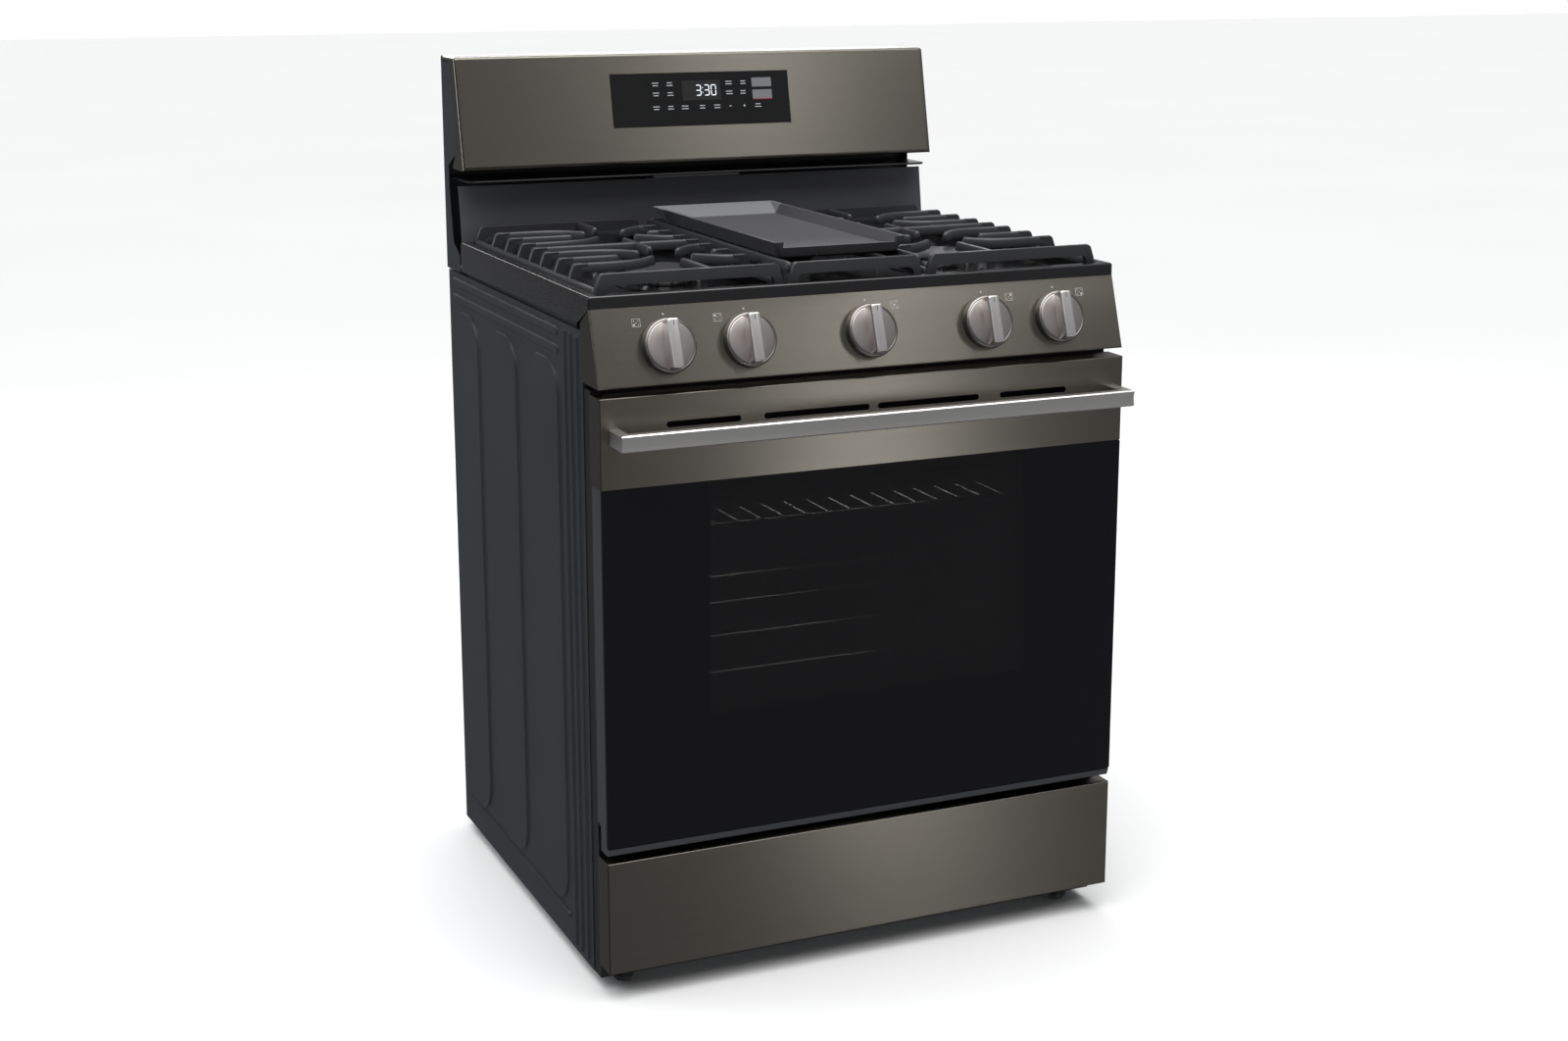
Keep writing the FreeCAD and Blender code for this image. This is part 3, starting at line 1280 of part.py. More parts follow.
def drawer_front():
    body = block(-drawer_half, drawer_half, face_y, drawer_rear_face, drawer_clearance, drawer_top)
    edges = [edge for edge in body.Edges if edge.BoundBox.YMax < face_y + 0.1]
    body = body.makeFillet(1.5, edges)
    inside = block(-drawer_half + trim_sheet, drawer_half - trim_sheet, face_y + trim_sheet,
                   drawer_rear_face + 1,
                   drawer_clearance + trim_sheet, drawer_top - trim_sheet)
    return cut(body, [inside])


save("drawer_front", drawer_front())


def drawer_box():
    """Folded pan on a back plate that closes the drawer front; its lips hang on the rails."""
    half = drawer_box_half_width
    start = drawer_rear_face - sheet
    rear = drawer_rear_face + drawer_box_depth
    pan = block(-half, half, start, rear, pan_z, pan_top)
    pan = cut(pan, [block(-half + sheet, half - sheet, start + sheet, rear - sheet, pan_z + sheet,
                          pan_top + 1)])
    lips = [block(half - sheet, half + drawer_lip, drawer_rear_face + 12, rear - 12, pan_top - sheet,
                  pan_top)]
    plate = block(-drawer_half + trim_sheet, drawer_half - trim_sheet, start, drawer_rear_face,
                  drawer_clearance + trim_sheet, drawer_top - trim_sheet)
    return fuse([pan, plate] + lips + [mirrored(lips[0])])


save("drawer_box", drawer_box())


def drawer_rail():
    """Folded angle on the side panel that the drawer's lip slides along."""
    inner = drawer_box_half_width + 6
    top = pan_top - sheet - seat_gap
    start = side_front + 6
    end = drawer_rear_face + drawer_box_depth + 40
    shelf = block(inner, side_in, start, end, top - sheet, top)
    web = block(side_in - sheet, side_in, start, end, top - 30, top)
    lip = block(inner, inner + sheet, start, end, top - 8, top)
    return fuse([shelf, web, lip])


save("drawer_rails", both_sides(drawer_rail()))

# ---------------------------------------------------------------- grates
# Cast iron. Low rails along both sides, bars raised above them, fingers towards each burner.
grate_low = grate_z - grate_bar_depth
rail_top = grate_z - 18
rail_low = rail_top - 11
foot_z = well_z + seat_gap
bar_half = grate_bar / 2
grate_front_y = behind(grate_front)
grate_rear_y = behind(grate_rear)
grate_outer = half_width - rim_land - grate_inset
finger_rows = (-58.0, 0.0, 60.0)


def bar(x0, y0, x1, y1, low, high, width):
    """Straight bar between two points in plan, with rounded ends."""
    run = V(x1 - x0, y1 - y0, 0)
    side = V(-run.y, run.x, 0).normalize() * (width / 2)
    corners = [V(x0, y0, low) + side, V(x1, y1, low) + side, V(x1, y1, low) - side, V(x0, y0, low) - side]
    ends = [Part.makeCylinder(width / 2, high - low, V(x, y, low)) for x, y in ((x0, y0), (x1, y1))]
    return fuse([prism(corners, V(0, 0, high - low))] + ends)


def riser(x0, x1, y, top):
    """Sloped web that lifts a finger from the side rail at x0 up to the finger at x1."""
    points = [V(x0, y - bar_half, rail_low + 2), V(x0, y - bar_half, rail_top),
              V((x0 + x1) / 2, y - bar_half, top),
              V(x1, y - bar_half, top), V(x1, y - bar_half, grate_low)]
    return prism(points, V(0, grate_bar, 0))


def side_grate():
    """Right-hand grate; the left one is its mirror image."""
    x_in = grate_split + grate_gap
    x_out = grate_outer
    rail_in, rail_out = x_in + bar_half, x_out - bar_half
    pieces = [
        bar(rail_in, grate_front_y + 14, rail_in, grate_rear_y - 14, rail_low, rail_top, grate_bar),
        bar(rail_out, grate_front_y + 14, rail_out, grate_rear_y - 14, rail_low, rail_top, grate_bar),
    ]
    for y in (grate_front_y + bar_half, grate_rear_y - bar_half):
        pieces.append(bar(rail_in + 10, y, rail_out - 10, y, grate_low, grate_z, grate_bar))
        for side, x in ((1, rail_in), (-1, rail_out)):
            inward = 1 if y < 0 else -1
            leg = [(7, foot_z), (17, foot_z), (22, grate_low), (22, grate_z), (8, grate_z),
                   (-bar_half + 4, rail_top),
                   (-bar_half + 4, rail_low)]
            pieces.append(prism([V(x + side * out, y - bar_half, z) for out, z in leg], V(0, grate_bar, 0)))
            near, far = sorted((y + 4 * inward, y + 18 * inward))
            pieces.append(block(x - bar_half, x + bar_half, near, far, rail_low, rail_top))
    middle = behind((burner_rear + burner_front) / 2)
    for y in (middle,):
        pieces.append(bar(rail_in + 16, y, rail_out - 16, y, grate_low, grate_z, grate_bar))
        pieces.append(riser(rail_in, rail_in + 17, y, grate_z))
        pieces.append(riser(rail_out, rail_out - 17, y, grate_z))
    for burner_y in (behind(burner_rear), behind(burner_front)):
        for row in finger_rows:
            y = burner_y + row
            knee, tip = (burner_column + 60, burner_column + 28) if row else (burner_column + 66, 0)
            for side in (-1, 1):
                rail_x = rail_out if side > 0 else rail_in
                start = rail_x - side * 16
                knee_x = burner_column + side * (knee - burner_column)
                if side < 0:
                    knee_x = max(knee_x, start + 12)
                pieces.append(riser(rail_x, start - side, y, grate_z))
                pieces.append(bar(start, y, knee_x, y, grate_low, grate_z, grate_bar))
                if row:
                    tip_x = burner_column + side * (tip - burner_column)
                    tip_y = y - math.copysign(34.0, row)
                    pieces.append(bar(knee_x, y, tip_x, tip_y, grate_low, grate_z, grate_bar))
    spine_low = ((grate_front_y + bar_half, behind(burner_front) - 62), (middle - 54, middle + 54),
                 (behind(burner_rear) + 62, grate_rear_y - bar_half))
    for start, end in spine_low:
        pieces.append(bar(burner_column, start, burner_column, end, grate_low, grate_z, grate_bar))
    return fuse(pieces)


right_grate = side_grate()
save("grate_right", right_grate)
save("grate_left", mirrored(right_grate))


def middle_grate():
    """Narrow grate over the oval burner that carries the griddle."""
    rail_x = grate_split - 2 - bar_half
    pieces = [bar(side * rail_x, grate_front_y + bar_half, side * rail_x, grate_rear_y - bar_half,
                  grate_low, grate_z, grate_bar) for side in (-1, 1)]
    for y in (grate_front_y + bar_half, grate_rear_y - bar_half):
        pieces.append(bar(-rail_x, y, rail_x, y, grate_low, grate_z, grate_bar))
        for side in (-1, 1):
            pieces.append(block(side * rail_x - 7 if side > 0 else -rail_x - bar_half,
                                rail_x + bar_half if side > 0 else -rail_x + 7,
                                y - bar_half, y + bar_half, foot_z, grate_low + 1))
    for index, y in enumerate((behind(burner_front) - 40, behind(burner_front) + 30, oval_y,
                               behind(burner_rear) - 30,
                               behind(burner_rear) + 40)):
        reach = 30 if index in (1, 2, 3) else 0
        for side in (-1, 1):
            pieces.append(bar(side * rail_x, y, side * reach, y, grate_low, grate_z, grate_bar))
    return fuse(pieces)


save("grate_center", middle_grate())


def griddle():
    """Shallow cast plate: sloped back wall, low sides that flare at the front corners."""
    low_z = grate_z + seat_gap
    half = grate_split - 3
    front, rear = behind(104), behind(560)
    outer_low = rounded_wire(-half + 8, half - 8, front + 6, rear - 34, 8, lambda u, v: V(u, v, low_z))
    outer_high = rounded_wire(-half, half, front, rear, 5, lambda u, v: V(u, v, low_z + griddle_rise))
    inner_low = rounded_wire(-half + 13, half - 13, front + 11, rear - 46, 6,
                             lambda u, v: V(u, v, low_z + griddle_wall))
    inner_high = rounded_wire(-half + 5, half - 5, front + 5, rear - 5, 4,
                              lambda u, v: V(u, v, low_z + griddle_rise + 0.1))
    body = Part.makeLoft([outer_low, outer_high], True, True).cut(Part.makeLoft([inner_low, inner_high],
                                                                                True, True))
    spout = prism_x(((front - 5, low_z + griddle_rise - 8), (front - 5, low_z + griddle_rise + 5),
                     (front + 16, low_z + griddle_rise + 5), (front + 16, low_z + griddle_rise - 8)),
                    -half + 14, half - 14)
    return body.cut(spout)


save("griddle", griddle())
print("nodes", len([name for name in os.listdir("parts") if name.endswith(".step")]))
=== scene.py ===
"""Freestanding gas range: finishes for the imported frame, and the finely shaped pieces that go round it."""
import math
import bpy
import numpy as np
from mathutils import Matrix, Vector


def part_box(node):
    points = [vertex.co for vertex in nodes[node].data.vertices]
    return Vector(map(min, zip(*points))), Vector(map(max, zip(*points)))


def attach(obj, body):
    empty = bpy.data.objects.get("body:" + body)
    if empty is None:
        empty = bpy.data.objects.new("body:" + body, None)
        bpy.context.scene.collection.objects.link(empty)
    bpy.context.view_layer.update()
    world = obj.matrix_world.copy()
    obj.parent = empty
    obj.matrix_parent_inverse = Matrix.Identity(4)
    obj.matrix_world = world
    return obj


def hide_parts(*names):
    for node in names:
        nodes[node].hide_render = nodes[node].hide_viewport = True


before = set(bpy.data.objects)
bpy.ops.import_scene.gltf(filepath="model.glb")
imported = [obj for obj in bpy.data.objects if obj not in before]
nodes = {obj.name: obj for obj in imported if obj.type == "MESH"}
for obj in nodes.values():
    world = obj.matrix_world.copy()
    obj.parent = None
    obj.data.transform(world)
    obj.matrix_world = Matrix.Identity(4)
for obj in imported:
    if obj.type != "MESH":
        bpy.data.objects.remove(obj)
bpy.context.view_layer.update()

# ================================================================ studio
# A plain pale floor, soft box lamps and a camera a little above the cooktop, in front and to the left.
# The floor and the horizon are left out of mirror reflections, so black glass stays black.
scene = bpy.context.scene
scene.view_settings.view_transform = "Standard"
camera_data = bpy.data.cameras.new("camera")
camera = bpy.data.objects.new("camera", camera_data)
scene.collection.objects.link(camera)
camera.location = (-1.2969, -2.9702, 1.3738)
camera.rotation_euler = (math.radians(90 - 12.796), 0, math.radians(-23.772))
camera_data.sensor_width = 36
camera_data.lens = 36 * 2346.2 / 1600
camera_data.shift_y = -0.04
camera_data.clip_end = 60
scene.camera = camera


def add_node(tree, kind, inputs=(), **settings):
    """New node in a tree; an input is a socket to join or a value to set."""
    node = tree.nodes.new(kind)
    for key, value in settings.items():
        setattr(node, key, value)
    for key, value in dict(inputs).items():
        if isinstance(value, bpy.types.NodeSocket):
            tree.links.new(value, node.inputs[key])
        else:
            node.inputs[key].default_value = value
    return node


def new_material(name, **constants):
    """Material with a Principled shader; constants are set on the shader's own sockets."""
    made = bpy.data.materials.new(name)
    made.use_nodes = True
    shader = made.node_tree.nodes["Principled BSDF"]
    for key, value in constants.items():
        shader.inputs[key.replace("_", " ").title().replace("Ior", "IOR")].default_value = value
    return made, made.node_tree, shader


def place_of(tree):
    """Object coordinates, in metres."""
    return add_node(tree, "ShaderNodeTexCoord").outputs["Object"]


def two_tone(tree, mask, first, second):
    """Colour between two tones by a mask."""
    blend = add_node(tree, "ShaderNodeMix", data_type="RGBA")
    tree.links.new(mask, blend.inputs[0])
    blend.inputs[6].default_value = (*first, 1)
    blend.inputs[7].default_value = (*second, 1)
    return blend.outputs[2]


def between(tree, mask, low, high):
    """Value that runs from low to high as a mask goes from 0 to 1."""
    return add_node(tree, "ShaderNodeMapRange", {"Value": mask, "To Min": low, "To Max": high}).outputs[0]


floor_paint, tree, shader = new_material("studio_floor", roughness=0.9)
mottle = add_node(tree, "ShaderNodeTexNoise", {"Vector": place_of(tree), "Scale": 0.7})
tree.links.new(two_tone(tree, mottle.outputs["Fac"], (0.86, 0.86, 0.86), (0.9, 0.9, 0.9)), shader.inputs["Base Color"])
floor_mesh = bpy.data.meshes.new("studio_floor")
floor_mesh.from_pydata([(-30, -30, 0), (30, -30, 0), (30, 30, 0), (-30, 30, 0)], [], [(0, 1, 2, 3)])
floor_mesh.materials.append(floor_paint)
floor = bpy.data.objects.new("studio_floor", floor_mesh)
scene.collection.objects.link(floor)
floor.visible_glossy = False

world = bpy.data.worlds.new("studio_air")
scene.world = world
world.use_nodes = True
sky = world.node_tree
sky.nodes.clear()
direction = add_node(sky, "ShaderNodeTexCoord").outputs["Generated"]
heading = add_node(sky, "ShaderNodeSeparateXYZ", {"Vector": direction})
ramp = add_node(sky, "ShaderNodeMapRange", {"Value": heading.outputs["Z"], "From Min": -0.1, "From Max": 0.8,
                                            "To Min": 0.2, "To Max": 0.3})
left_dusk = add_node(sky, "ShaderNodeMapRange", {"Value": heading.outputs["X"], "From Min": -0.45, "From Max": -0.05,
                                                 "To Min": 0.3, "To Max": 1.0})
level = add_node(sky, "ShaderNodeMath", {0: ramp.outputs[0], 1: left_dusk.outputs[0]}, operation="MULTIPLY")
soft_sky = add_node(sky, "ShaderNodeBackground", {"Color": (0.96, 0.98, 1, 1), "Strength": level.outputs[0]})
plain_sky = add_node(sky, "ShaderNodeBackground", {"Color": (1, 1, 1, 1), "Strength": 1.0})
seen = add_node(sky, "ShaderNodeLightPath").outputs["Is Camera Ray"]
both = add_node(sky, "ShaderNodeMixShader", {0: seen, 1: soft_sky.outputs[0], 2: plain_sky.outputs[0]})
add_node(sky, "ShaderNodeOutputWorld", {"Surface": both.outputs[0]})


def box_lamp(name, place, aim, width, height, power, colour=(1, 1, 1)):
    """Rectangular soft box at a place, turned towards a point."""
    lamp = bpy.data.lights.new(name, "AREA")
    lamp.shape = "RECTANGLE"
    lamp.size, lamp.size_y, lamp.energy, lamp.color = width, height, power, colour
    made = bpy.data.objects.new(name, lamp)
    scene.collection.objects.link(made)
    made.location = place
    away = made.location.copy()
    away.x, away.y, away.z = place[0] - aim[0], place[1] - aim[1], place[2] - aim[2]
    made.rotation_euler = away.to_track_quat("Z", "Y").to_euler()
    return made


sun = bpy.data.lights.new("lamp_ceiling", "SUN")
sun.energy, sun.angle = 2.9, math.radians(70)
ceiling = bpy.data.objects.new("lamp_ceiling", sun)
scene.collection.objects.link(ceiling)
ceiling.rotation_euler = (math.radians(14), math.radians(-8), 0)
box_lamp("lamp_top", (0.2, -0.4, 3.2), (0, 0, 0.8), 3.0, 2.0, 26)
box_lamp("lamp_left", (-3.4, 1.3, 1.9), (-0.3, 0, 0.6), 1.2, 2.2, 34, (0.93, 0.97, 1))
box_lamp("lamp_behind", (0.6, 3.2, 2.2), (0, 0.2, 0.9), 2.4, 1.2, 36)
box_lamp("lamp_oven", (0, 0.0, 0.745), (0, 0.02, 0.3), 0.4, 0.3, 1.3, (1, 0.93, 0.85))
high_strip = box_lamp("lamp_strip_high", (2.12, -4.2, 3.3), (0, -0.3, 0.9), 0.45, 1.6, 8.5)
burner_lamp = box_lamp("lamp_burners", (-0.7, -2.6, 1.22), (0, 0, 0.93), 1.4, 0.5, 7)
low_strip = box_lamp("lamp_strip_low", (1.92, -4.25, -0.5), (0, -0.3, 0.4), 0.45, 1.8, 8.5)

# ================================================================ pressed and painted body
# Side panels and backguard shell are pressed sheet steel with a baked, pebbled slate paint.
# The front frame, door shell and base are the same sheet under plain satin paint or bare zinc.


def new_group(name, inputs, outputs):
    """Shader node group with named inputs (name, kind, value) and outputs (name, kind)."""
    group = bpy.data.node_groups.new(name, "ShaderNodeTree")
    for label, kind, value in inputs:
        made = group.interface.new_socket(label, in_out="INPUT", socket_type="NodeSocket" + kind)
        if value is not None:
            made.default_value = value
    for label, kind in outputs:
        group.interface.new_socket(label, in_out="OUTPUT", socket_type="NodeSocket" + kind)
    return group, group.nodes.new("NodeGroupInput"), group.nodes.new("NodeGroupOutput")


def use_group(tree, group, **inputs):
    """Places a shader node group in a material with its own values."""
    node = tree.nodes.new("ShaderNodeGroup")
    node.node_tree = group
    for label, value in inputs.items():
        socket = node.inputs[label.title()]
        if isinstance(value, bpy.types.NodeSocket):
            tree.links.new(value, socket)
        else:
            socket.default_value = value
    return node


# Pebbled skin: rounded bumps of one size, broken up by finer ones, with a slow cloud of colour.
pebble, inlet, outlet = new_group(
    "pebble_skin",
    [("Vector", "Vector", None), ("Grain", "Float", 900.0), ("Cloud Size", "Float", 6.0)],
    [("Height", "Float"), ("Cloud", "Float"), ("Fleck", "Float")])
bumps = add_node(pebble, "ShaderNodeTexVoronoi", {"Vector": inlet.outputs["Vector"], "Scale": inlet.outputs["Grain"]},
                 feature="SMOOTH_F1")
fines = add_node(pebble, "ShaderNodeTexNoise", {"Vector": inlet.outputs["Vector"], "Scale": inlet.outputs["Grain"],
                                                "Detail": 3.0})
mixed = add_node(pebble, "ShaderNodeMath", {0: fines.outputs["Fac"], 1: bumps.outputs["Distance"]}, operation="SUBTRACT")
cloud = add_node(pebble, "ShaderNodeTexNoise", {"Vector": inlet.outputs["Vector"],
                                                "Scale": inlet.outputs["Cloud Size"], "Detail": 4.0})
fleck = add_node(pebble, "ShaderNodeMapRange", {"Value": fines.outputs["Fac"], "From Min": 0.58, "From Max": 0.72})
pebble.links.new(mixed.outputs[0], outlet.inputs["Height"])
pebble.links.new(cloud.outputs["Fac"], outlet.inputs["Cloud"])
pebble.links.new(fleck.outputs[0], outlet.inputs["Fleck"])


def grained(name, grain, dark, light, rough, bump, depth=0.0002, **constants):
    """Paint or casting with a pebbled skin: two tones by the cloud, roughness by the fleck, bumps by the height."""
    made, tree, shader = new_material(name, **constants)
    skin = use_group(tree, pebble, vector=place_of(tree), grain=grain)
    tree.links.new(two_tone(tree, skin.outputs["Cloud"], dark, light), shader.inputs["Base Color"])
    tree.links.new(between(tree, skin.outputs["Fleck"], *rough), shader.inputs["Roughness"])
    lift = add_node(tree, "ShaderNodeBump", {"Height": skin.outputs["Height"], "Strength": bump, "Distance": depth})
    tree.links.new(lift.outputs[0], shader.inputs["Normal"])
    return made


def finish(material, *names):
    """Gives CAD nodes a material."""
    for name in names:
        slots = nodes[name].material_slots
        for place in slots:
            place.material = material


slate_paint = grained("slate_paint", 620, (0.018, 0.022, 0.026), (0.028, 0.032, 0.037), (0.34, 0.5), 0.5)
satin_black = grained("satin_black", 1500, (0.006, 0.006, 0.007), (0.01, 0.01, 0.011), (0.3, 0.42), 0.12)
door_slate = grained("door_slate", 1400, (0.03, 0.033, 0.037), (0.04, 0.044, 0.048), (0.34, 0.45), 0.12)
bare_zinc = grained("bare_zinc", 90, (0.30, 0.31, 0.32), (0.5, 0.51, 0.52), (0.28, 0.5), 0.08, metallic=0.9)
moulded_black = grained("moulded_black", 1100, (0.008, 0.008, 0.009), (0.013, 0.013, 0.014), (0.45, 0.6), 0.25)
pressed_steel = grained("pressed_steel", 300, (0.16, 0.16, 0.165), (0.24, 0.24, 0.245), (0.3, 0.45), 0.1, metallic=0.8)
finish(slate_paint, "side_panels", "backguard_shell")
finish(satin_black, "front_frame", "vent_trim")
finish(door_slate, "door_frame")
finish(bare_zinc, "base_frame", "rear_cover", "oven_flue", "drawer_box", "drawer_rails")
finish(moulded_black, "leveling_feet", "power_inlet")
finish(pressed_steel, "fan_motor", "gas_lines", "hinge_arms", "door_hinges", "panel_screws")

# ================================================================ brushed dark stainless
# Console fascia, control panel, door band and drawer front are dark tinted stainless sheet, brushed
# from side to side, with a clear coat over the tint.
brushed, inlet, outlet = new_group(
    "brushed_grain",
    [("Vector", "Vector", None), ("Across", "Vector", (9.0, 900.0, 900.0)), ("Smear", "Float", 2.2)],
    [("Grain", "Float"), ("Streak", "Float"), ("Smudge", "Float")])
stretch = add_node(brushed, "ShaderNodeVectorMath", {0: inlet.outputs["Vector"], 1: inlet.outputs["Across"]},
                   operation="MULTIPLY")
hair = add_node(brushed, "ShaderNodeTexNoise", {"Vector": stretch.outputs[0], "Scale": 1.0, "Detail": 4.0,
                                                "Roughness": 0.6})
wide = add_node(brushed, "ShaderNodeTexNoise", {"Vector": stretch.outputs[0], "Scale": 0.12, "Detail": 2.0})
smudge = add_node(brushed, "ShaderNodeTexNoise", {"Vector": inlet.outputs["Vector"], "Scale": inlet.outputs["Smear"],
                                                  "Detail": 2.0})
brushed.links.new(hair.outputs["Fac"], outlet.inputs["Grain"])
brushed.links.new(wide.outputs["Fac"], outlet.inputs["Streak"])
brushed.links.new(smudge.outputs["Fac"], outlet.inputs["Smudge"])


def brushed_metal(name, across, dark, light, rough, bump=0.12, **constants):
    """Metal brushed one way: tones by the hairlines, roughness by a slow smudge, and a shallow groove height."""
    made, tree, shader = new_material(name, metallic=1.0, **constants)
    grain = use_group(tree, brushed, vector=place_of(tree), across=across)
    tree.links.new(two_tone(tree, grain.outputs["Grain"], dark, light), shader.inputs["Base Color"])
    tree.links.new(between(tree, grain.outputs["Smudge"], *rough), shader.inputs["Roughness"])
    lift = add_node(tree, "ShaderNodeBump", {"Height": grain.outputs["Grain"], "Strength": bump, "Distance": 0.0001})
    tree.links.new(lift.outputs[0], shader.inputs["Normal"])
    return made


dark_stainless = brushed_metal("dark_stainless", (9, 900, 900), (0.14, 0.13, 0.11), (0.205, 0.192, 0.165), (0.24, 0.29),
                               anisotropic=0.7, anisotropic_rotation=0.25)
steel_nodes = ("console_fascia", "control_panel", "door_trim", "drawer_front")
finish(dark_stainless, *steel_nodes)
strip_lit = bpy.data.collections.new("strip_lit")
for name in steel_nodes:
    strip_lit.objects.link(nodes[name])
for strip in (high_strip, low_strip):
    strip.light_linking.receiver_collection = strip_lit
    strip.light_linking.blocker_collection = strip_lit

# ================================================================ black enamel cooktop
# One pressed steel tray under gloss black porcelain enamel, with the splash panel behind it.
enamel_black = grained("enamel_black", 260, (0.006, 0.006, 0.007), (0.011, 0.011, 0.012), (0.18, 0.27), 0.05,
                       coat_weight=0.4, coat_roughness=0.08)
splash_slate = grained("splash_slate", 1300, (0.062, 0.063, 0.07), (0.074, 0.075, 0.083), (0.32, 0.42), 0.12)
oven_enamel = grained("oven_enamel", 420, (0.012, 0.013, 0.02), (0.03, 0.032, 0.045), (0.18, 0.5), 0.12)
finish(enamel_black, "cooktop")
finish(splash_slate, "splash_panel")
finish(oven_enamel, "oven_liner", "oven_floor_panel", "fan_cover", "door_liner")

# ================================================================ surfaces from grids
# Shapes that are turned, cast or bent are worked out as grids of points, in millimetres.


def box_mm(node):
    """Lowest and highest corner of a CAD node, in millimetres."""
    low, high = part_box(node)
    return np.array(low) * 1000, np.array(high) * 1000


def lattice(rows, columns, start):
    """Quads that join neighbouring points of a grid; the last column meets the first."""
    i, j = np.meshgrid(np.arange(rows - 1), np.arange(columns), indexing="ij")
    k = (j + 1) % columns
    quads = [i * columns + j, i * columns + k, (i + 1) * columns + k, (i + 1) * columns + j]
    return start + np.stack(quads, -1).reshape(-1, 4)


def build(name, grids, material, body, crease=35):
    """Piece from closed shells: each grid's rows are rings, and one flat face closes its first and last ring."""
    points, faces, count = [], [], 0
    for grid in grids:
        rows, columns, _ = grid.shape
        points.append(grid.reshape(-1, 3))
        faces.extend(lattice(rows, columns, count).tolist())
        first = np.arange(count, count + columns)
        faces.append(first[::-1].tolist())
        faces.append((first + (rows - 1) * columns).tolist())
        count += rows * columns
    mesh = bpy.data.meshes.new(name)
    mesh.from_pydata((np.concatenate(points) / 1000).tolist(), [], faces)
    mesh.materials.append(material)
    mesh.shade_smooth()
    mesh.set_sharp_from_angle(angle=math.radians(crease))
    piece = bpy.data.objects.new(name, mesh)
    scene.collection.objects.link(piece)
    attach(piece, body)
    return piece


def rounded_outline(half_u, half_v, radius, steps=4):
    """Outline of a rounded rectangle, counterclockwise: each corner is a quarter circle about its own centre."""
    corner = np.linspace(0, math.pi / 2, steps)
    angles = np.concatenate([corner + k * math.pi / 2 for k in range(4)])
    centre_u = (half_u - radius) * np.repeat([1, -1, -1, 1], steps)
    centre_v = (half_v - radius) * np.repeat([1, 1, -1, -1], steps)
    return np.stack([centre_u + radius * np.cos(angles), centre_v + radius * np.sin(angles)], 1)


def eased(points, rounds=3):
    """Polyline with its corners cut: each round keeps a quarter and three quarters of every run, and both ends."""
    points = np.array(points, float)
    for _ in range(rounds):
        first, second = points[:-1], points[1:]
        cut = np.stack([0.75 * first + 0.25 * second, 0.25 * first + 0.75 * second], 1).reshape(-1, 3)
        points = np.concatenate([points[:1], cut, points[-1:]])
    return points


def cast_bar(points, width, depth, nose=1.0, rounds=3, draft=0.16):
    """Cast bar along a path: a rounded section, narrower at the top by the draft, square to the path.

    Its ends are noses: the section shrinks by the square root of one less the square of the way into the nose.
    """
    path = eased(points, rounds)
    run = np.concatenate([[0], np.cumsum(np.linalg.norm(np.diff(path, axis=0), axis=1))])
    reach = nose * width / 2
    into = reach * np.array([0, 0.04, 0.16, 0.4, 0.7, 1])
    middle = run[(run > reach * 1.2) & (run < run[-1] - reach * 1.2)]
    at = np.concatenate([into, middle, run[-1] - into[::-1]])
    path = np.stack([np.interp(at, run, path[:, axis]) for axis in range(3)], 1)
    ahead = np.gradient(path, at, axis=0)
    ahead /= np.linalg.norm(ahead, axis=1)[:, None]
    whole = path[-1] - path[0]
    flat = ahead[:, :2] + 0.05 * whole[:2] / (np.linalg.norm(whole[:2]) + 1e-9)
    side = np.stack([-flat[:, 1], flat[:, 0], np.zeros(len(at))], 1)
    side /= np.linalg.norm(side, axis=1)[:, None]
    side -= (side * ahead).sum(1)[:, None] * ahead
    side /= np.linalg.norm(side, axis=1)[:, None]
    up = np.cross(ahead, side)
    short = 1 - np.minimum(np.minimum(at, at[-1] - at) / reach, 1)
    scale = np.sqrt(np.maximum(1 - short**2, 0.0025))
    outline = rounded_outline(width / 2, depth / 2, min(width, depth) * 0.28, 3)
    across = outline[:, 0] * (1 - draft * outline[:, 1] / (depth / 2))
    return (path[:, None] + (scale[:, None] * across)[..., None] * side[:, None]
            + (scale[:, None] * outline[:, 1])[..., None] * up[:, None])


def turned(profile, centre, axis=(0, 0, 1), steps=64):
    """Body of revolution: each (radius, height) of the profile becomes a ring about the axis."""
    axis = np.array(axis, float)
    first = np.cross((0, 1, 0) if abs(axis[1]) < 0.9 else (1, 0, 0), axis)
    first /= np.linalg.norm(first)
    second = np.cross(axis, first)
    angle = np.linspace(0, 2 * math.pi, steps, endpoint=False)
    ring = np.cos(angle)[:, None] * first + np.sin(angle)[:, None] * second
    profile = np.array(profile, float)
    return np.array(centre) + profile[:, 0, None, None] * ring[None] + profile[:, 1, None, None] * axis


# ================================================================ burner caps
# Pressed steel lids with matte grey enamel that lie loose on the burner heads: four round, one oval.
cap_enamel = grained("cap_enamel", 700, (0.026, 0.027, 0.03), (0.036, 0.037, 0.041), (0.36, 0.5), 0.15)
burner_alloy = grained("burner_alloy", 500, (0.7, 0.7, 0.69), (0.86, 0.86, 0.85), (0.24, 0.38), 0.15, metallic=1.0)
white_ceramic = grained("white_ceramic", 500, (0.7, 0.69, 0.64), (0.78, 0.77, 0.73), (0.2, 0.3), 0.05)
finish(burner_alloy, "burner_heads", "pressure_regulator")
finish(white_ceramic, "igniters")
burners_lit = bpy.data.collections.new("burners_lit")
for name in ("burner_heads", "igniters"):
    burners_lit.objects.link(nodes[name])
burner_lamp.light_linking.receiver_collection = burners_lit
cap_low, cap_high = box_mm("burner_caps")
burner_column, rear_burner, front_burner = 205.0, 125.5, -95.5
cap_bottom, cap_top = cap_low[2], cap_high[2]


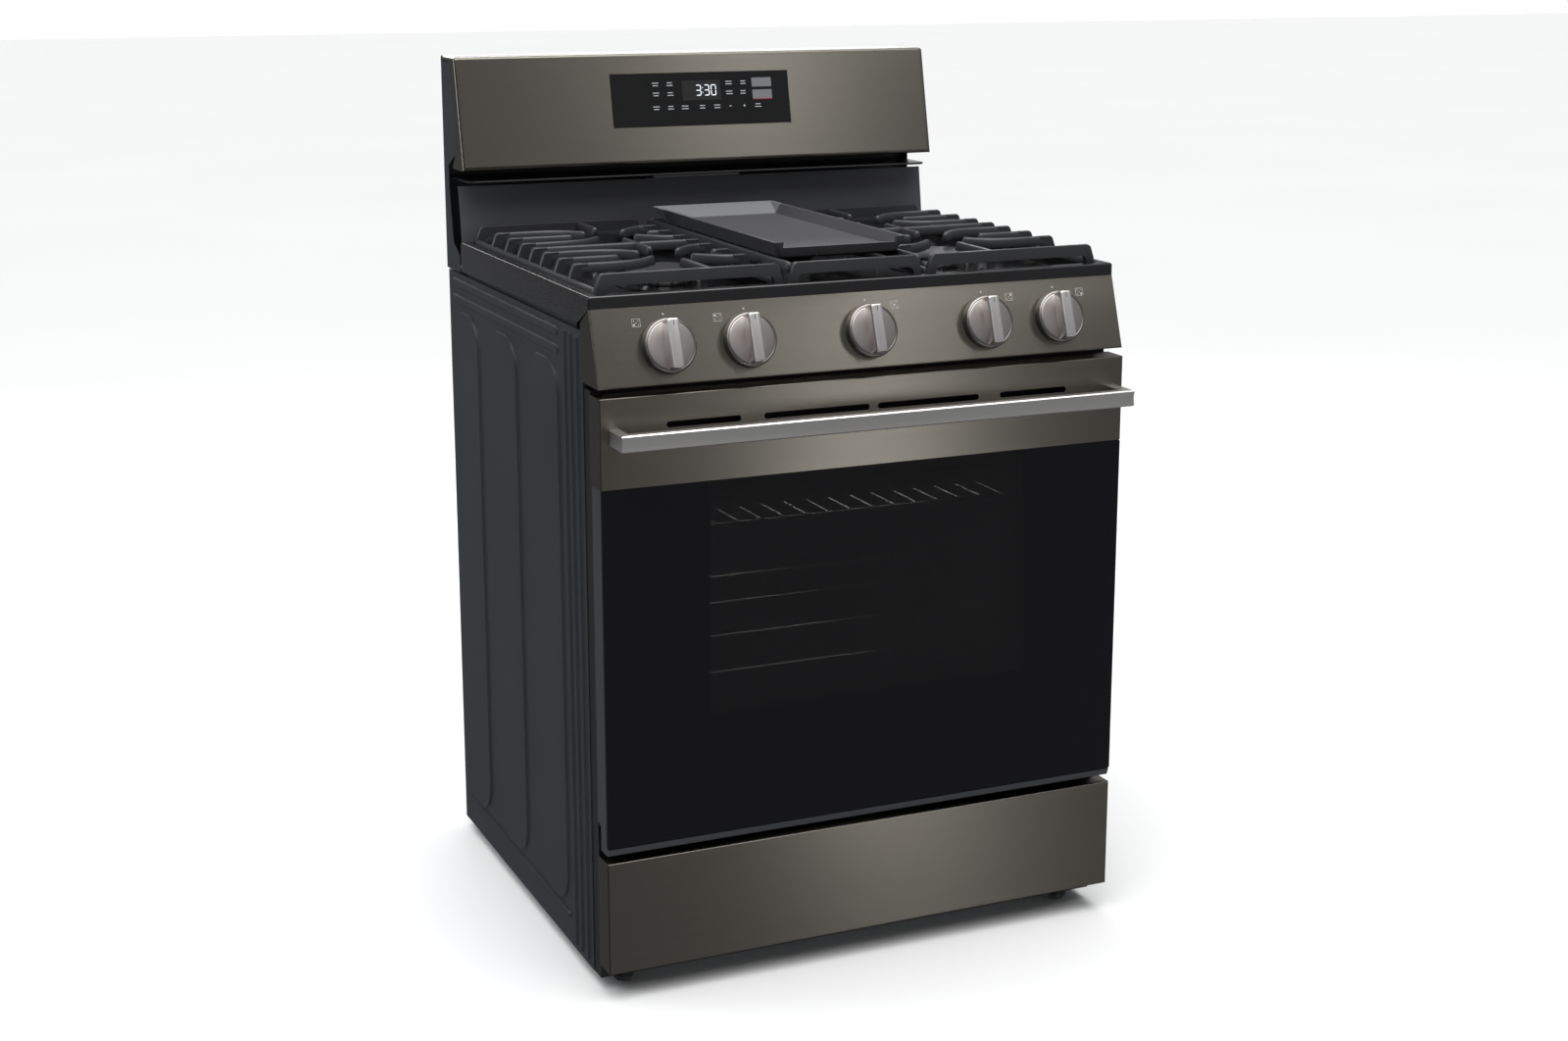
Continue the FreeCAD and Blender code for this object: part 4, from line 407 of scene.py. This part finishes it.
def cap_profile(radius):
    """Half outline of a lid: flat underside, rolled rim, and a crown that falls away as the square of the radius."""
    angle = np.linspace(-math.pi / 2, math.pi / 2, 9)
    rim = 3.0
    edge = np.stack([radius - rim + rim * np.cos(angle), cap_bottom + rim + rim * np.sin(angle)], 1)
    reach = np.linspace(1, 0, 10)[1:-1]
    crown = np.stack([(radius - rim) * reach, cap_top - 1.0 * reach**2], 1)
    return np.concatenate([[(1, cap_bottom)], edge, crown, [(0.5, cap_top)]])


lids = [turned(cap_profile(53.0 if y < 0 else 43.0) - [0, 0], (x, y, 0))
        for x in (-burner_column, burner_column) for y in (front_burner, rear_burner)]
oval_half_length, oval_half_width = 95.0, 30.0
oval_y = (front_burner + rear_burner) / 2
round_lid = turned(cap_profile(oval_half_width), (0, 0, 0))
stretch_by = np.sign(np.round(round_lid[..., 1], 6)) * (oval_half_length - oval_half_width)
round_lid[..., 1] += stretch_by + oval_y
caps = build("burner_lids", lids + [round_lid], cap_enamel, "root")
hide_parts("burner_caps")

# ================================================================ grates
# Three cast iron grates with matte grey enamel. A fin rises from the low side rail to carry each
# finger; the fingers run in over a burner and bend towards it, with narrow tops for the pans.
cast_iron = grained("cast_iron", 800, (0.026, 0.0265, 0.029), (0.04, 0.041, 0.044), (0.36, 0.5), 0.3)
pan_level, bar_width, bar_depth = 960.0, 9.0, 13.0
rail_low, rail_top = 930.5, 941.0
foot_level = 916.6
front_bar, rear_bar = -258.0, 266.0
rail_inner, rail_outer = 108.5, 359.5
middle_row = (front_burner + rear_burner) / 2
finger_rows = (-60.0, 0.0, 62.0)
fin_half = 4.2


def fin(outline, y, half=fin_half, lean=1.3):
    """Upright cast plate: an outline across the range, thinner towards its faces by the lean."""
    outline = np.array(outline, float)
    middle = outline.mean(0)
    rings = []
    for offset, inset in ((-half, lean), (-half + lean, 0), (half - lean, 0), (half, lean)):
        away = outline - middle
        ring = middle + away * (1 - inset / np.maximum(np.linalg.norm(away, axis=1), 1))[:, None]
        rings.append(np.stack([ring[:, 0], np.full(len(ring), y + offset), ring[:, 1]], 1))
    grid = np.stack(rings)
    x, z = outline[:, 0], outline[:, 1]
    turning = np.sum(x * np.roll(z, -1) - np.roll(x, -1) * z)
    return grid[:, ::-1] if turning > 0 else grid


def top_bar(path):
    """Bar whose top lies at the pan level, with a narrow top and noses at its ends."""
    middle = pan_level - bar_depth / 2
    return cast_bar([(x, y, middle) for x, y in path], bar_width, bar_depth, rounds=2, draft=0.3)


def cross_bar(x0, x1, y, top=pan_level):
    """Cross bar on two legs: each leg leans in a little and widens to the bar above."""
    low = top - 15
    return fin([(x0, foot_level), (x0 + 2, top - 18), (x0 + 7, top - 3), (x0 + 11, top), (x1 - 11, top),
                (x1 - 7, top - 3), (x1 - 2, top - 18), (x1, foot_level), (x1 - 9, foot_level), (x1 - 13, low - 4),
                (x1 - 18, low), (x0 + 18, low), (x0 + 13, low - 4), (x0 + 9, foot_level)], y, half=4.6)


def side_grate_bars():
    """Bars of the right-hand grate: two rails, three cross bars, and six rows of fingers on fins."""
    rail_mid, rail_deep = (rail_low + rail_top) / 2, rail_top - rail_low
    bars = [cast_bar([(x, front_bar + 2, rail_mid), (x, rear_bar - 2, rail_mid)], 9.6, rail_deep, rounds=1)
            for x in (rail_inner, rail_outer)]
    bars += [cross_bar(rail_inner - 4.5, rail_outer + 4.5, y) for y in (front_bar, rear_bar)]
    for side, rail in ((-1, rail_inner), (1, rail_outer)):
        rows = [(middle_row, None)] + [(b + row, (b, row)) for b in (front_burner, rear_burner) for row in finger_rows]
        for y, burner in rows:
            steps = ((-4, rail_low + 1), (-3, rail_top), (3, pan_level - 2.5), (6, pan_level), (24, pan_level),
                     (24, pan_level - 13), (13, rail_top), (6, rail_low + 1))
            bars.append(fin([(rail - side * step, z) for step, z in steps], y))
            start = (rail - side * 12, y)
            if burner is None:
                path = [start, (burner_column, y)]
            elif burner[1]:
                path = [start, (burner_column + side * 61, y),
                        (burner_column + side * 27, y - math.copysign(35, burner[1]))]
            else:
                cap = 53.0 if burner[0] < 0 else 43.0
                path = [start, (burner_column + side * (cap + 13), y)]
            bars.append(top_bar(path))
    runs = ((front_bar, front_burner - 62), (middle_row - 54, middle_row + 54), (rear_burner + 62, rear_bar))
    return bars + [top_bar([(burner_column, a), (burner_column, b)]) for a, b in runs]


right_bars = side_grate_bars()
left_bars = [(grid * [-1, 1, 1])[:, ::-1] for grid in right_bars]
for label, bars in (("right", right_bars), ("left", left_bars)):
    grate = build("grate_" + label + "_casting", bars, cast_iron, "grate_" + label, crease=40)
    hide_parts("grate_" + label)

centre_rail = 93.5
centre_bars = [top_bar([(side * centre_rail, front_bar), (side * centre_rail, rear_bar)]) for side in (-1, 1)]
centre_bars += [cross_bar(-centre_rail - 4.5, centre_rail + 4.5, y) for y in (front_bar, rear_bar)]
for y, reach in ((front_burner - 40, 0), (front_burner + 30, 30), (oval_y, 30), (rear_burner - 30, 30),
                 (rear_burner + 40, 0)):
    centre_bars += [top_bar([(side * centre_rail, y), (side * reach, y)]) for side in (-1, 1)]
centre = build("grate_center_casting", centre_bars, cast_iron, "grate_center", crease=40)
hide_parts("grate_center")

# ================================================================ griddle
# Cast plate over the middle grate: a broad sloped back wall, low side walls and a shallow front lip,
# with flared front corners.
griddle_iron, tree, shader = new_material("griddle_iron", roughness=0.5)
spot = place_of(tree)
grit = add_node(tree, "ShaderNodeTexNoise", {"Vector": spot, "Scale": 1000.0, "Detail": 4.0})
grit_height = add_node(tree, "ShaderNodeTexVoronoi", {"Vector": spot, "Scale": 700.0}).outputs["Distance"]
toward_back = add_node(tree, "ShaderNodeSeparateXYZ", {"Vector": spot}).outputs["Y"]
# The sloped back wall gets a much paler tone than the cooking floor, though both are the same iron: this is a painted
# highlight standing in for the light the broad slope catches.
back_wall_painted_light = add_node(tree, "ShaderNodeMapRange", {"Value": toward_back, "From Min": 0.196, "From Max": 0.199}).outputs[0]
tone = add_node(tree, "ShaderNodeMix", data_type="RGBA")
tree.links.new(back_wall_painted_light, tone.inputs[0])
tree.links.new(two_tone(tree, grit.outputs["Fac"], (0.05, 0.05, 0.054), (0.07, 0.07, 0.075)), tone.inputs[6])
tree.links.new(two_tone(tree, grit.outputs["Fac"], (0.13, 0.132, 0.137), (0.18, 0.182, 0.188)), tone.inputs[7])
tree.links.new(tone.outputs[2], shader.inputs["Base Color"])
lift = add_node(tree, "ShaderNodeBump", {"Height": grit_height, "Strength": 0.25, "Distance": 0.0002})
tree.links.new(lift.outputs[0], shader.inputs["Normal"])
finish(griddle_iron, "griddle")

# ================================================================ knobs
# Zinc castings with a brushed satin plate: a dark skirt with a fine knurl, a paler face and a grip bar.
knob_axis = np.array([0, -0.949658, 0.313289])
knob_up = np.array([0, 0.313289, 0.949658])
knob_seat = np.array([0, -300.325, 869.0])
knob_side = brushed_metal("knob_side", (700, 700, 12), (0.2, 0.185, 0.175), (0.4, 0.38, 0.36), (0.3, 0.4), 0.2)
knob_face = brushed_metal("knob_face", (700, 60, 8), (0.4, 0.365, 0.35), (0.55, 0.51, 0.49), (0.36, 0.44), 0.1)
knob_grip = brushed_metal("knob_grip", (700, 60, 8), (0.84, 0.8, 0.78), (0.98, 0.94, 0.92), (0.3, 0.38), 0.08)
mark_black, tree, shader = new_material("mark_black", roughness=0.5)
soot = add_node(tree, "ShaderNodeTexNoise", {"Vector": place_of(tree), "Scale": 400.0})
tree.links.new(two_tone(tree, soot.outputs["Fac"], (0.01, 0.01, 0.01), (0.03, 0.03, 0.03)),
               shader.inputs["Base Color"])


def on_knob(points, x):
    """Places local points (right, up, out) on a knob."""
    points = np.asarray(points, float)
    return (knob_seat + np.array([x, 0, 0]) + points[..., :1] * np.array([1.0, 0, 0]) + points[..., 1:2] * knob_up
            + points[..., 2:] * knob_axis)


def stacked(outlines, heights):
    """Shell from outlines stacked at heights."""
    return np.stack([np.concatenate([outline, np.full((len(outline), 1), height)], 1)
                     for outline, height in zip(outlines, heights)])


skirt_profile = [(7, 4.5), (33.2, 4.5), (35.2, 4.8), (36, 5.8), (35.8, 9), (35.0, 14), (34.4, 15.6), (33.4, 16.4),
                 (32.4, 16.6), (31.9, 16.2), (31.6, 15.8), (5, 15.8)]
face_profile = [(3, 15.0), (31.4, 15.0), (31.4, 16.0), (31.0, 16.5), (30.2, 16.8), (14, 16.4), (1, 16.3)]
grip_out = np.array([15.5, 20, 30, 33.2, 34.3, 34.8, 35.0])
grip_shrink = np.array([0, 0.1, 0.5, 0.7, 1.2, 1.8, 2.8])
for name, x in zip(("left_outer", "left_inner", "center", "right_inner", "right_outer"),
                   (-282.0, -172.0, 0.0, 172.0, 282.0)):
    local = {"skirt": turned(skirt_profile, (0, 0, 0), steps=96), "face": turned(face_profile, (0, 0, 0), steps=96)}
    skirt = build("knob_" + name + "_skirt", [on_knob(local["skirt"], x)], knob_side, "knob_" + name)
    build("knob_" + name + "_face", [on_knob(local["face"], x)], knob_face, "knob_" + name)
    grip = stacked([rounded_outline(8.5 - s, 32.0 - s, 2.2) for s in grip_shrink], grip_out)
    build("knob_" + name + "_grip", [on_knob(grip, x)], knob_grip, "knob_" + name, crease=50)
    mark = stacked([rounded_outline(0.45, 3.2, 0.3)] * 2, [34.5, 35.12]) + [0, 25.5, 0]
    build("knob_" + name + "_mark", [on_knob(mark, x)], mark_black, "knob_" + name)
    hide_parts("knob_" + name)

# ================================================================ printed marks
# Small pale marks on the control panel: a dot over each knob, and a plan of the burners beside it
# with that knob's burner filled. They are printed, about a tenth of a millimetre thick.
mark_pale, tree, shader = new_material("mark_pale", roughness=0.6)
chalk = add_node(tree, "ShaderNodeTexNoise", {"Vector": place_of(tree), "Scale": 500.0})
tree.links.new(two_tone(tree, chalk.outputs["Fac"], (0.5, 0.48, 0.45), (0.66, 0.64, 0.6)),
               shader.inputs["Base Color"])


def stroke(start, end, width, low, high):
    """Printed line between two points of a flat face, between two heights above it."""
    start, end = np.array(start, float), np.array(end, float)
    along = (end - start) / (np.linalg.norm(end - start) + 1e-9)
    side = np.array([-along[1], along[0]])
    start, end = start - along * width / 2, end + along * width / 2
    corners = np.array([start - side * width / 2, end - side * width / 2, end + side * width / 2,
                        start + side * width / 2])
    return stacked([corners, corners], [low, high])


def frame_strokes(centre, half_u, half_v, width, low, high):
    """Rectangle outline from four strokes."""
    u, v = centre
    corners = [(u - half_u, v - half_v), (u + half_u, v - half_v), (u + half_u, v + half_v), (u - half_u, v + half_v)]
    return [stroke(corners[k], corners[(k + 1) % 4], width, low, high) for k in range(4)]


def disc(centre, radius, low, high, steps=16):
    angle = np.linspace(0, 2 * math.pi, steps, endpoint=False)
    ring = np.stack([centre[0] + radius * np.cos(angle), centre[1] + radius * np.sin(angle)], 1)
    return stacked([ring, ring], [low, high])


burner_plan = ((-3, -2.6), (-3, 2.6), (0, 0), (3, 2.6), (3, -2.6))
plan_places = (-319.0, -209.0, 42.0, 213.5, 323.0)
marks = []
for index, (x, plan_x) in enumerate(zip((-282.0, -172.0, 0.0, 172.0, 282.0), plan_places)):
    marks.append(disc((x, 42.0), 1.3, -0.05, 0.12))
    marks += frame_strokes((plan_x, 33.0), 5.5, 5.0, 0.45, -0.05, 0.12)
    for spot, centre_at in enumerate(burner_plan):
        at = (plan_x + centre_at[0], 33.0 + centre_at[1])
        marks.append(disc(at, 1.5 if spot == index else 0.7, -0.05, 0.12))
build("panel_marks", [on_knob(grid, 0) for grid in marks], mark_pale, "root")

# ================================================================ console display
# Black glass let into the console: clock digits that glow, short pale bars where keys are, and two
# larger lit keys. The bars stand for printing; no words are drawn.
display_low, display_high = box_mm("display_glass")
black_glass = grained("black_glass", 40, (0.003, 0.003, 0.0035), (0.004, 0.004, 0.0045), (0.05, 0.08), 0.0,
                      coat_weight=0.3, coat_roughness=0.03)
finish(black_glass, "display_glass")
console_lean = math.atan2(35.0, 161.0)
console_out = np.array([0, -math.cos(console_lean), math.sin(console_lean)])
console_up = np.array([0, math.sin(console_lean), math.cos(console_lean)])
console_foot = np.array([0, 579.0 - 317.5, 1041.0])


glass_proud = 0.6


def on_console(points):
    """Places (x, height in the room, out) on the glass in the console's sloped face."""
    points = np.asarray(points, float)
    rise = (points[..., 1:2] - console_foot[2]) / console_up[2]
    return (console_foot + points[..., :1] * np.array([1.0, 0, 0]) + rise * console_up
            + (points[..., 2:] + glass_proud) * console_out)


def glowing(name, colour, strength):
    """Lit print: an even glow with a faint ripple."""
    made, tree, shader = new_material(name, roughness=0.4, emission_strength=strength)
    ripple = add_node(tree, "ShaderNodeTexNoise", {"Vector": place_of(tree), "Scale": 300.0})
    dim = tuple(0.85 * part for part in colour)
    tone = two_tone(tree, ripple.outputs["Fac"], dim, colour)
    tree.links.new(tone, shader.inputs["Emission Color"])
    tree.links.new(tone, shader.inputs["Base Color"])
    return made


field_grey = glowing("field_grey", (0.012, 0.012, 0.013), 0.3)
digit_glow = glowing("digit_glow", (0.8, 0.85, 0.9), 0.9)
key_print = glowing("key_print", (0.5, 0.52, 0.54), 0.35)
key_grey = glowing("key_grey", (0.16, 0.163, 0.17), 0.3)
key_red = glowing("key_red", (0.25, 0.015, 0.03), 0.2)
segments = {"a": ((0, 2), (1, 2)), "b": ((1, 1), (1, 2)), "c": ((1, 0), (1, 1)), "d": ((0, 0), (1, 0)),
            "e": ((0, 0), (0, 1)), "f": ((0, 1), (0, 2)), "g": ((0, 1), (1, 1))}
seven = {"3": "abcdg", "0": "abcdef"}
digit_strokes = []
for glyph, left in (("3", -8.0), ("3", 5.4), ("0", 16.4)):
    for part in seven[glyph]:
        (u0, v0), (u1, v1) = segments[part]
        at = np.array([[left + 7.2 * u0, 1139.0 + 7.4 * v0], [left + 7.2 * u1, 1139.0 + 7.4 * v1]])
        run = at[1] - at[0]
        at += np.array([[0.16], [-0.16]]) * run
        digit_strokes.append(stroke(at[0], at[1], 1.2, 0.08, 0.16))
digit_strokes += [disc((2.4, v), 0.75, 0.08, 0.16) for v in (1143.0, 1150.0)]
build("clock_digits", [on_console(grid) for grid in digit_strokes], digit_glow, "root")

build("clock_field", [on_console(stroke((-16.0, 1146.5), (17.0, 1146.5), 29.0, 0.02, 0.06))], field_grey, "root")

bars = []
key_rows = ((1156.5, (-73, -50, 39.5 + 6, 69)), (1142.0, (-73, -50, 45.5, 68)), (1122.0, (-74, -51, -28, 0, 24, 91)))
for level, centres in key_rows:
    for number, centre_x in enumerate(centres):
        for line, half in ((1.9, 4.6 - number % 2), (-1.9, 3.6 + number % 3 * 0.6)):
            bars.append(stroke((centre_x - half, level + line), (centre_x + half, level + line), 1.0, 0.02, 0.1))
bars.append(stroke((44, 1122), (47, 1122), 0.8, 0.02, 0.1))
bars.append(stroke((67, 1122), (70, 1122), 0.8, 0.02, 0.1))
bars.append(stroke((68.5, 1120.5), (68.5, 1123.5), 0.8, 0.02, 0.1))
build("key_bars", [on_console(grid) for grid in bars], key_print, "root")
lit = [stroke((83.4 + 6.6, level), (115.2 - 6.6, level), 13.4, 0.02, 0.1) for level in (1156.2, 1138.4)]
build("lit_keys", [on_console(grid) for grid in lit], key_grey, "root")
build("stop_line", [on_console(stroke((84, 1131.2), (114, 1131.2), 1.2, 0.02, 0.16))], key_red, "root")

# ================================================================ oven door
# Black bordered glass over the whole front, with a clear window at its middle. The handle is an
# extruded satin bar with mitred returns, screwed on from inside the brushed band.
door_black, tree, shader = new_material("door_black_glass", roughness=0.04, ior=1.5, specular_ior_level=0.35)
spot = place_of(tree)
parts_of = add_node(tree, "ShaderNodeSeparateXYZ", {"Vector": spot})
window_half, window_low, window_soft = 0.232, 0.381, 0.004


def ramp_down(value, start, end):
    """1 below start, 0 above end."""
    return add_node(tree, "ShaderNodeMapRange", {"Value": value, "From Min": start, "From Max": end, "To Min": 1.0,
                                                 "To Max": 0.0}, interpolation_type="SMOOTHSTEP").outputs[0]


aside = add_node(tree, "ShaderNodeMath", {0: parts_of.outputs["X"]}, operation="ABSOLUTE").outputs[0]
inside_x = ramp_down(aside, window_half - window_soft, window_half + window_soft)
below = ramp_down(parts_of.outputs["Z"], window_low - window_soft, window_low + window_soft)
above = add_node(tree, "ShaderNodeMath", {0: 1.0, 1: below}, operation="SUBTRACT").outputs[0]
window = add_node(tree, "ShaderNodeMath", {0: inside_x, 1: above}, operation="MULTIPLY").outputs[0]
tree.links.new(between(tree, window, 1.0, 0.57), shader.inputs["Alpha"])
tree.links.new(two_tone(tree, window, (0.0025, 0.0025, 0.0035), (0.0085, 0.0085, 0.0095)), shader.inputs["Base Color"])
finish(door_black, "door_glass")
clear_pane = grained("clear_pane", 30, (0.012, 0.013, 0.013), (0.02, 0.021, 0.021), (0.03, 0.06), 0.0, alpha=0.25)
finish(clear_pane, "door_inner_glass", "oven_lamp")

handle_satin = brushed_metal("handle_satin", (8, 700, 700), (0.78, 0.76, 0.73), (0.92, 0.9, 0.87), (0.3, 0.38))
handle_low, handle_high = box_mm("door_handle")
handle_deep, handle_tall = 14.0, handle_high[2] - handle_low[2]
handle_z = (handle_low[2] + handle_high[2]) / 2
half_tall, half_deep = handle_tall / 2, handle_deep / 2
dish = np.linspace(-1, 1, 9)
front_face = np.stack([half_tall * 0.86 * dish, -half_deep + 0.7 * (1 - dish**2)], 1)
edge = np.array([(half_tall, -half_deep + 1.6), (half_tall, half_deep - 1.5), (half_tall - 1.5, half_deep),
                 (-half_tall + 1.5, half_deep), (-half_tall, half_deep - 1.5), (-half_tall, -half_deep + 1.6)])
section = np.concatenate([front_face, edge])
left_x, right_x = handle_low[0] + half_deep, handle_high[0] - half_deep
front_y, door_y = handle_low[1] + half_deep, handle_high[1]
corner_path = np.array([(left_x, door_y), (left_x, front_y), (right_x, front_y), (right_x, door_y)])
mitre = np.array([(1, 0), (1, 1), (-1, 1), (-1, 0)], float)
rows = []
for (x, y), (mx, my) in zip(corner_path, mitre):
    inward = section[:, 1]
    rows.append(np.stack([x + mx * inward, y + my * inward, handle_z + section[:, 0]], 1))
handle = build("handle_bar", [np.stack(rows)[:, ::-1]], handle_satin, "oven_door", crease=30)
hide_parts("door_handle")

# ================================================================ inside pieces
# Plated racks and guides, glass rope gasket, mineral wool, brass valves and the control board.
rack_chrome = brushed_metal("rack_chrome", (300, 300, 300), (0.55, 0.55, 0.55), (0.75, 0.75, 0.75), (0.15, 0.3), 0.05)
heat_steel = brushed_metal("heat_steel", (200, 200, 200), (0.3, 0.26, 0.22), (0.5, 0.46, 0.42), (0.25, 0.45), 0.08)
valve_brass = brushed_metal("valve_brass", (200, 200, 200), (0.55, 0.4, 0.18), (0.75, 0.58, 0.3), (0.2, 0.35), 0.05)
wool = grained("mineral_wool", 350, (0.5, 0.46, 0.3), (0.66, 0.62, 0.45), (0.85, 0.95), 0.8, 0.002)
rope = grained("gasket_rope", 900, (0.09, 0.085, 0.08), (0.2, 0.19, 0.18), (0.8, 0.9), 0.8, 0.0008)
board_green = grained("board_green", 500, (0.01, 0.07, 0.03), (0.02, 0.11, 0.05), (0.3, 0.5), 0.2)
finish(rack_chrome, "oven_rack_lower", "oven_rack_upper", "rack_guides")
finish(heat_steel, "oven_burners", "convection_fan", "temperature_sensor")
finish(valve_brass, "gas_valves", *[name for name in nodes if name.startswith("valve_stem")])
finish(wool, "oven_insulation")
finish(rope, "door_gasket")
finish(board_green, "control_board")
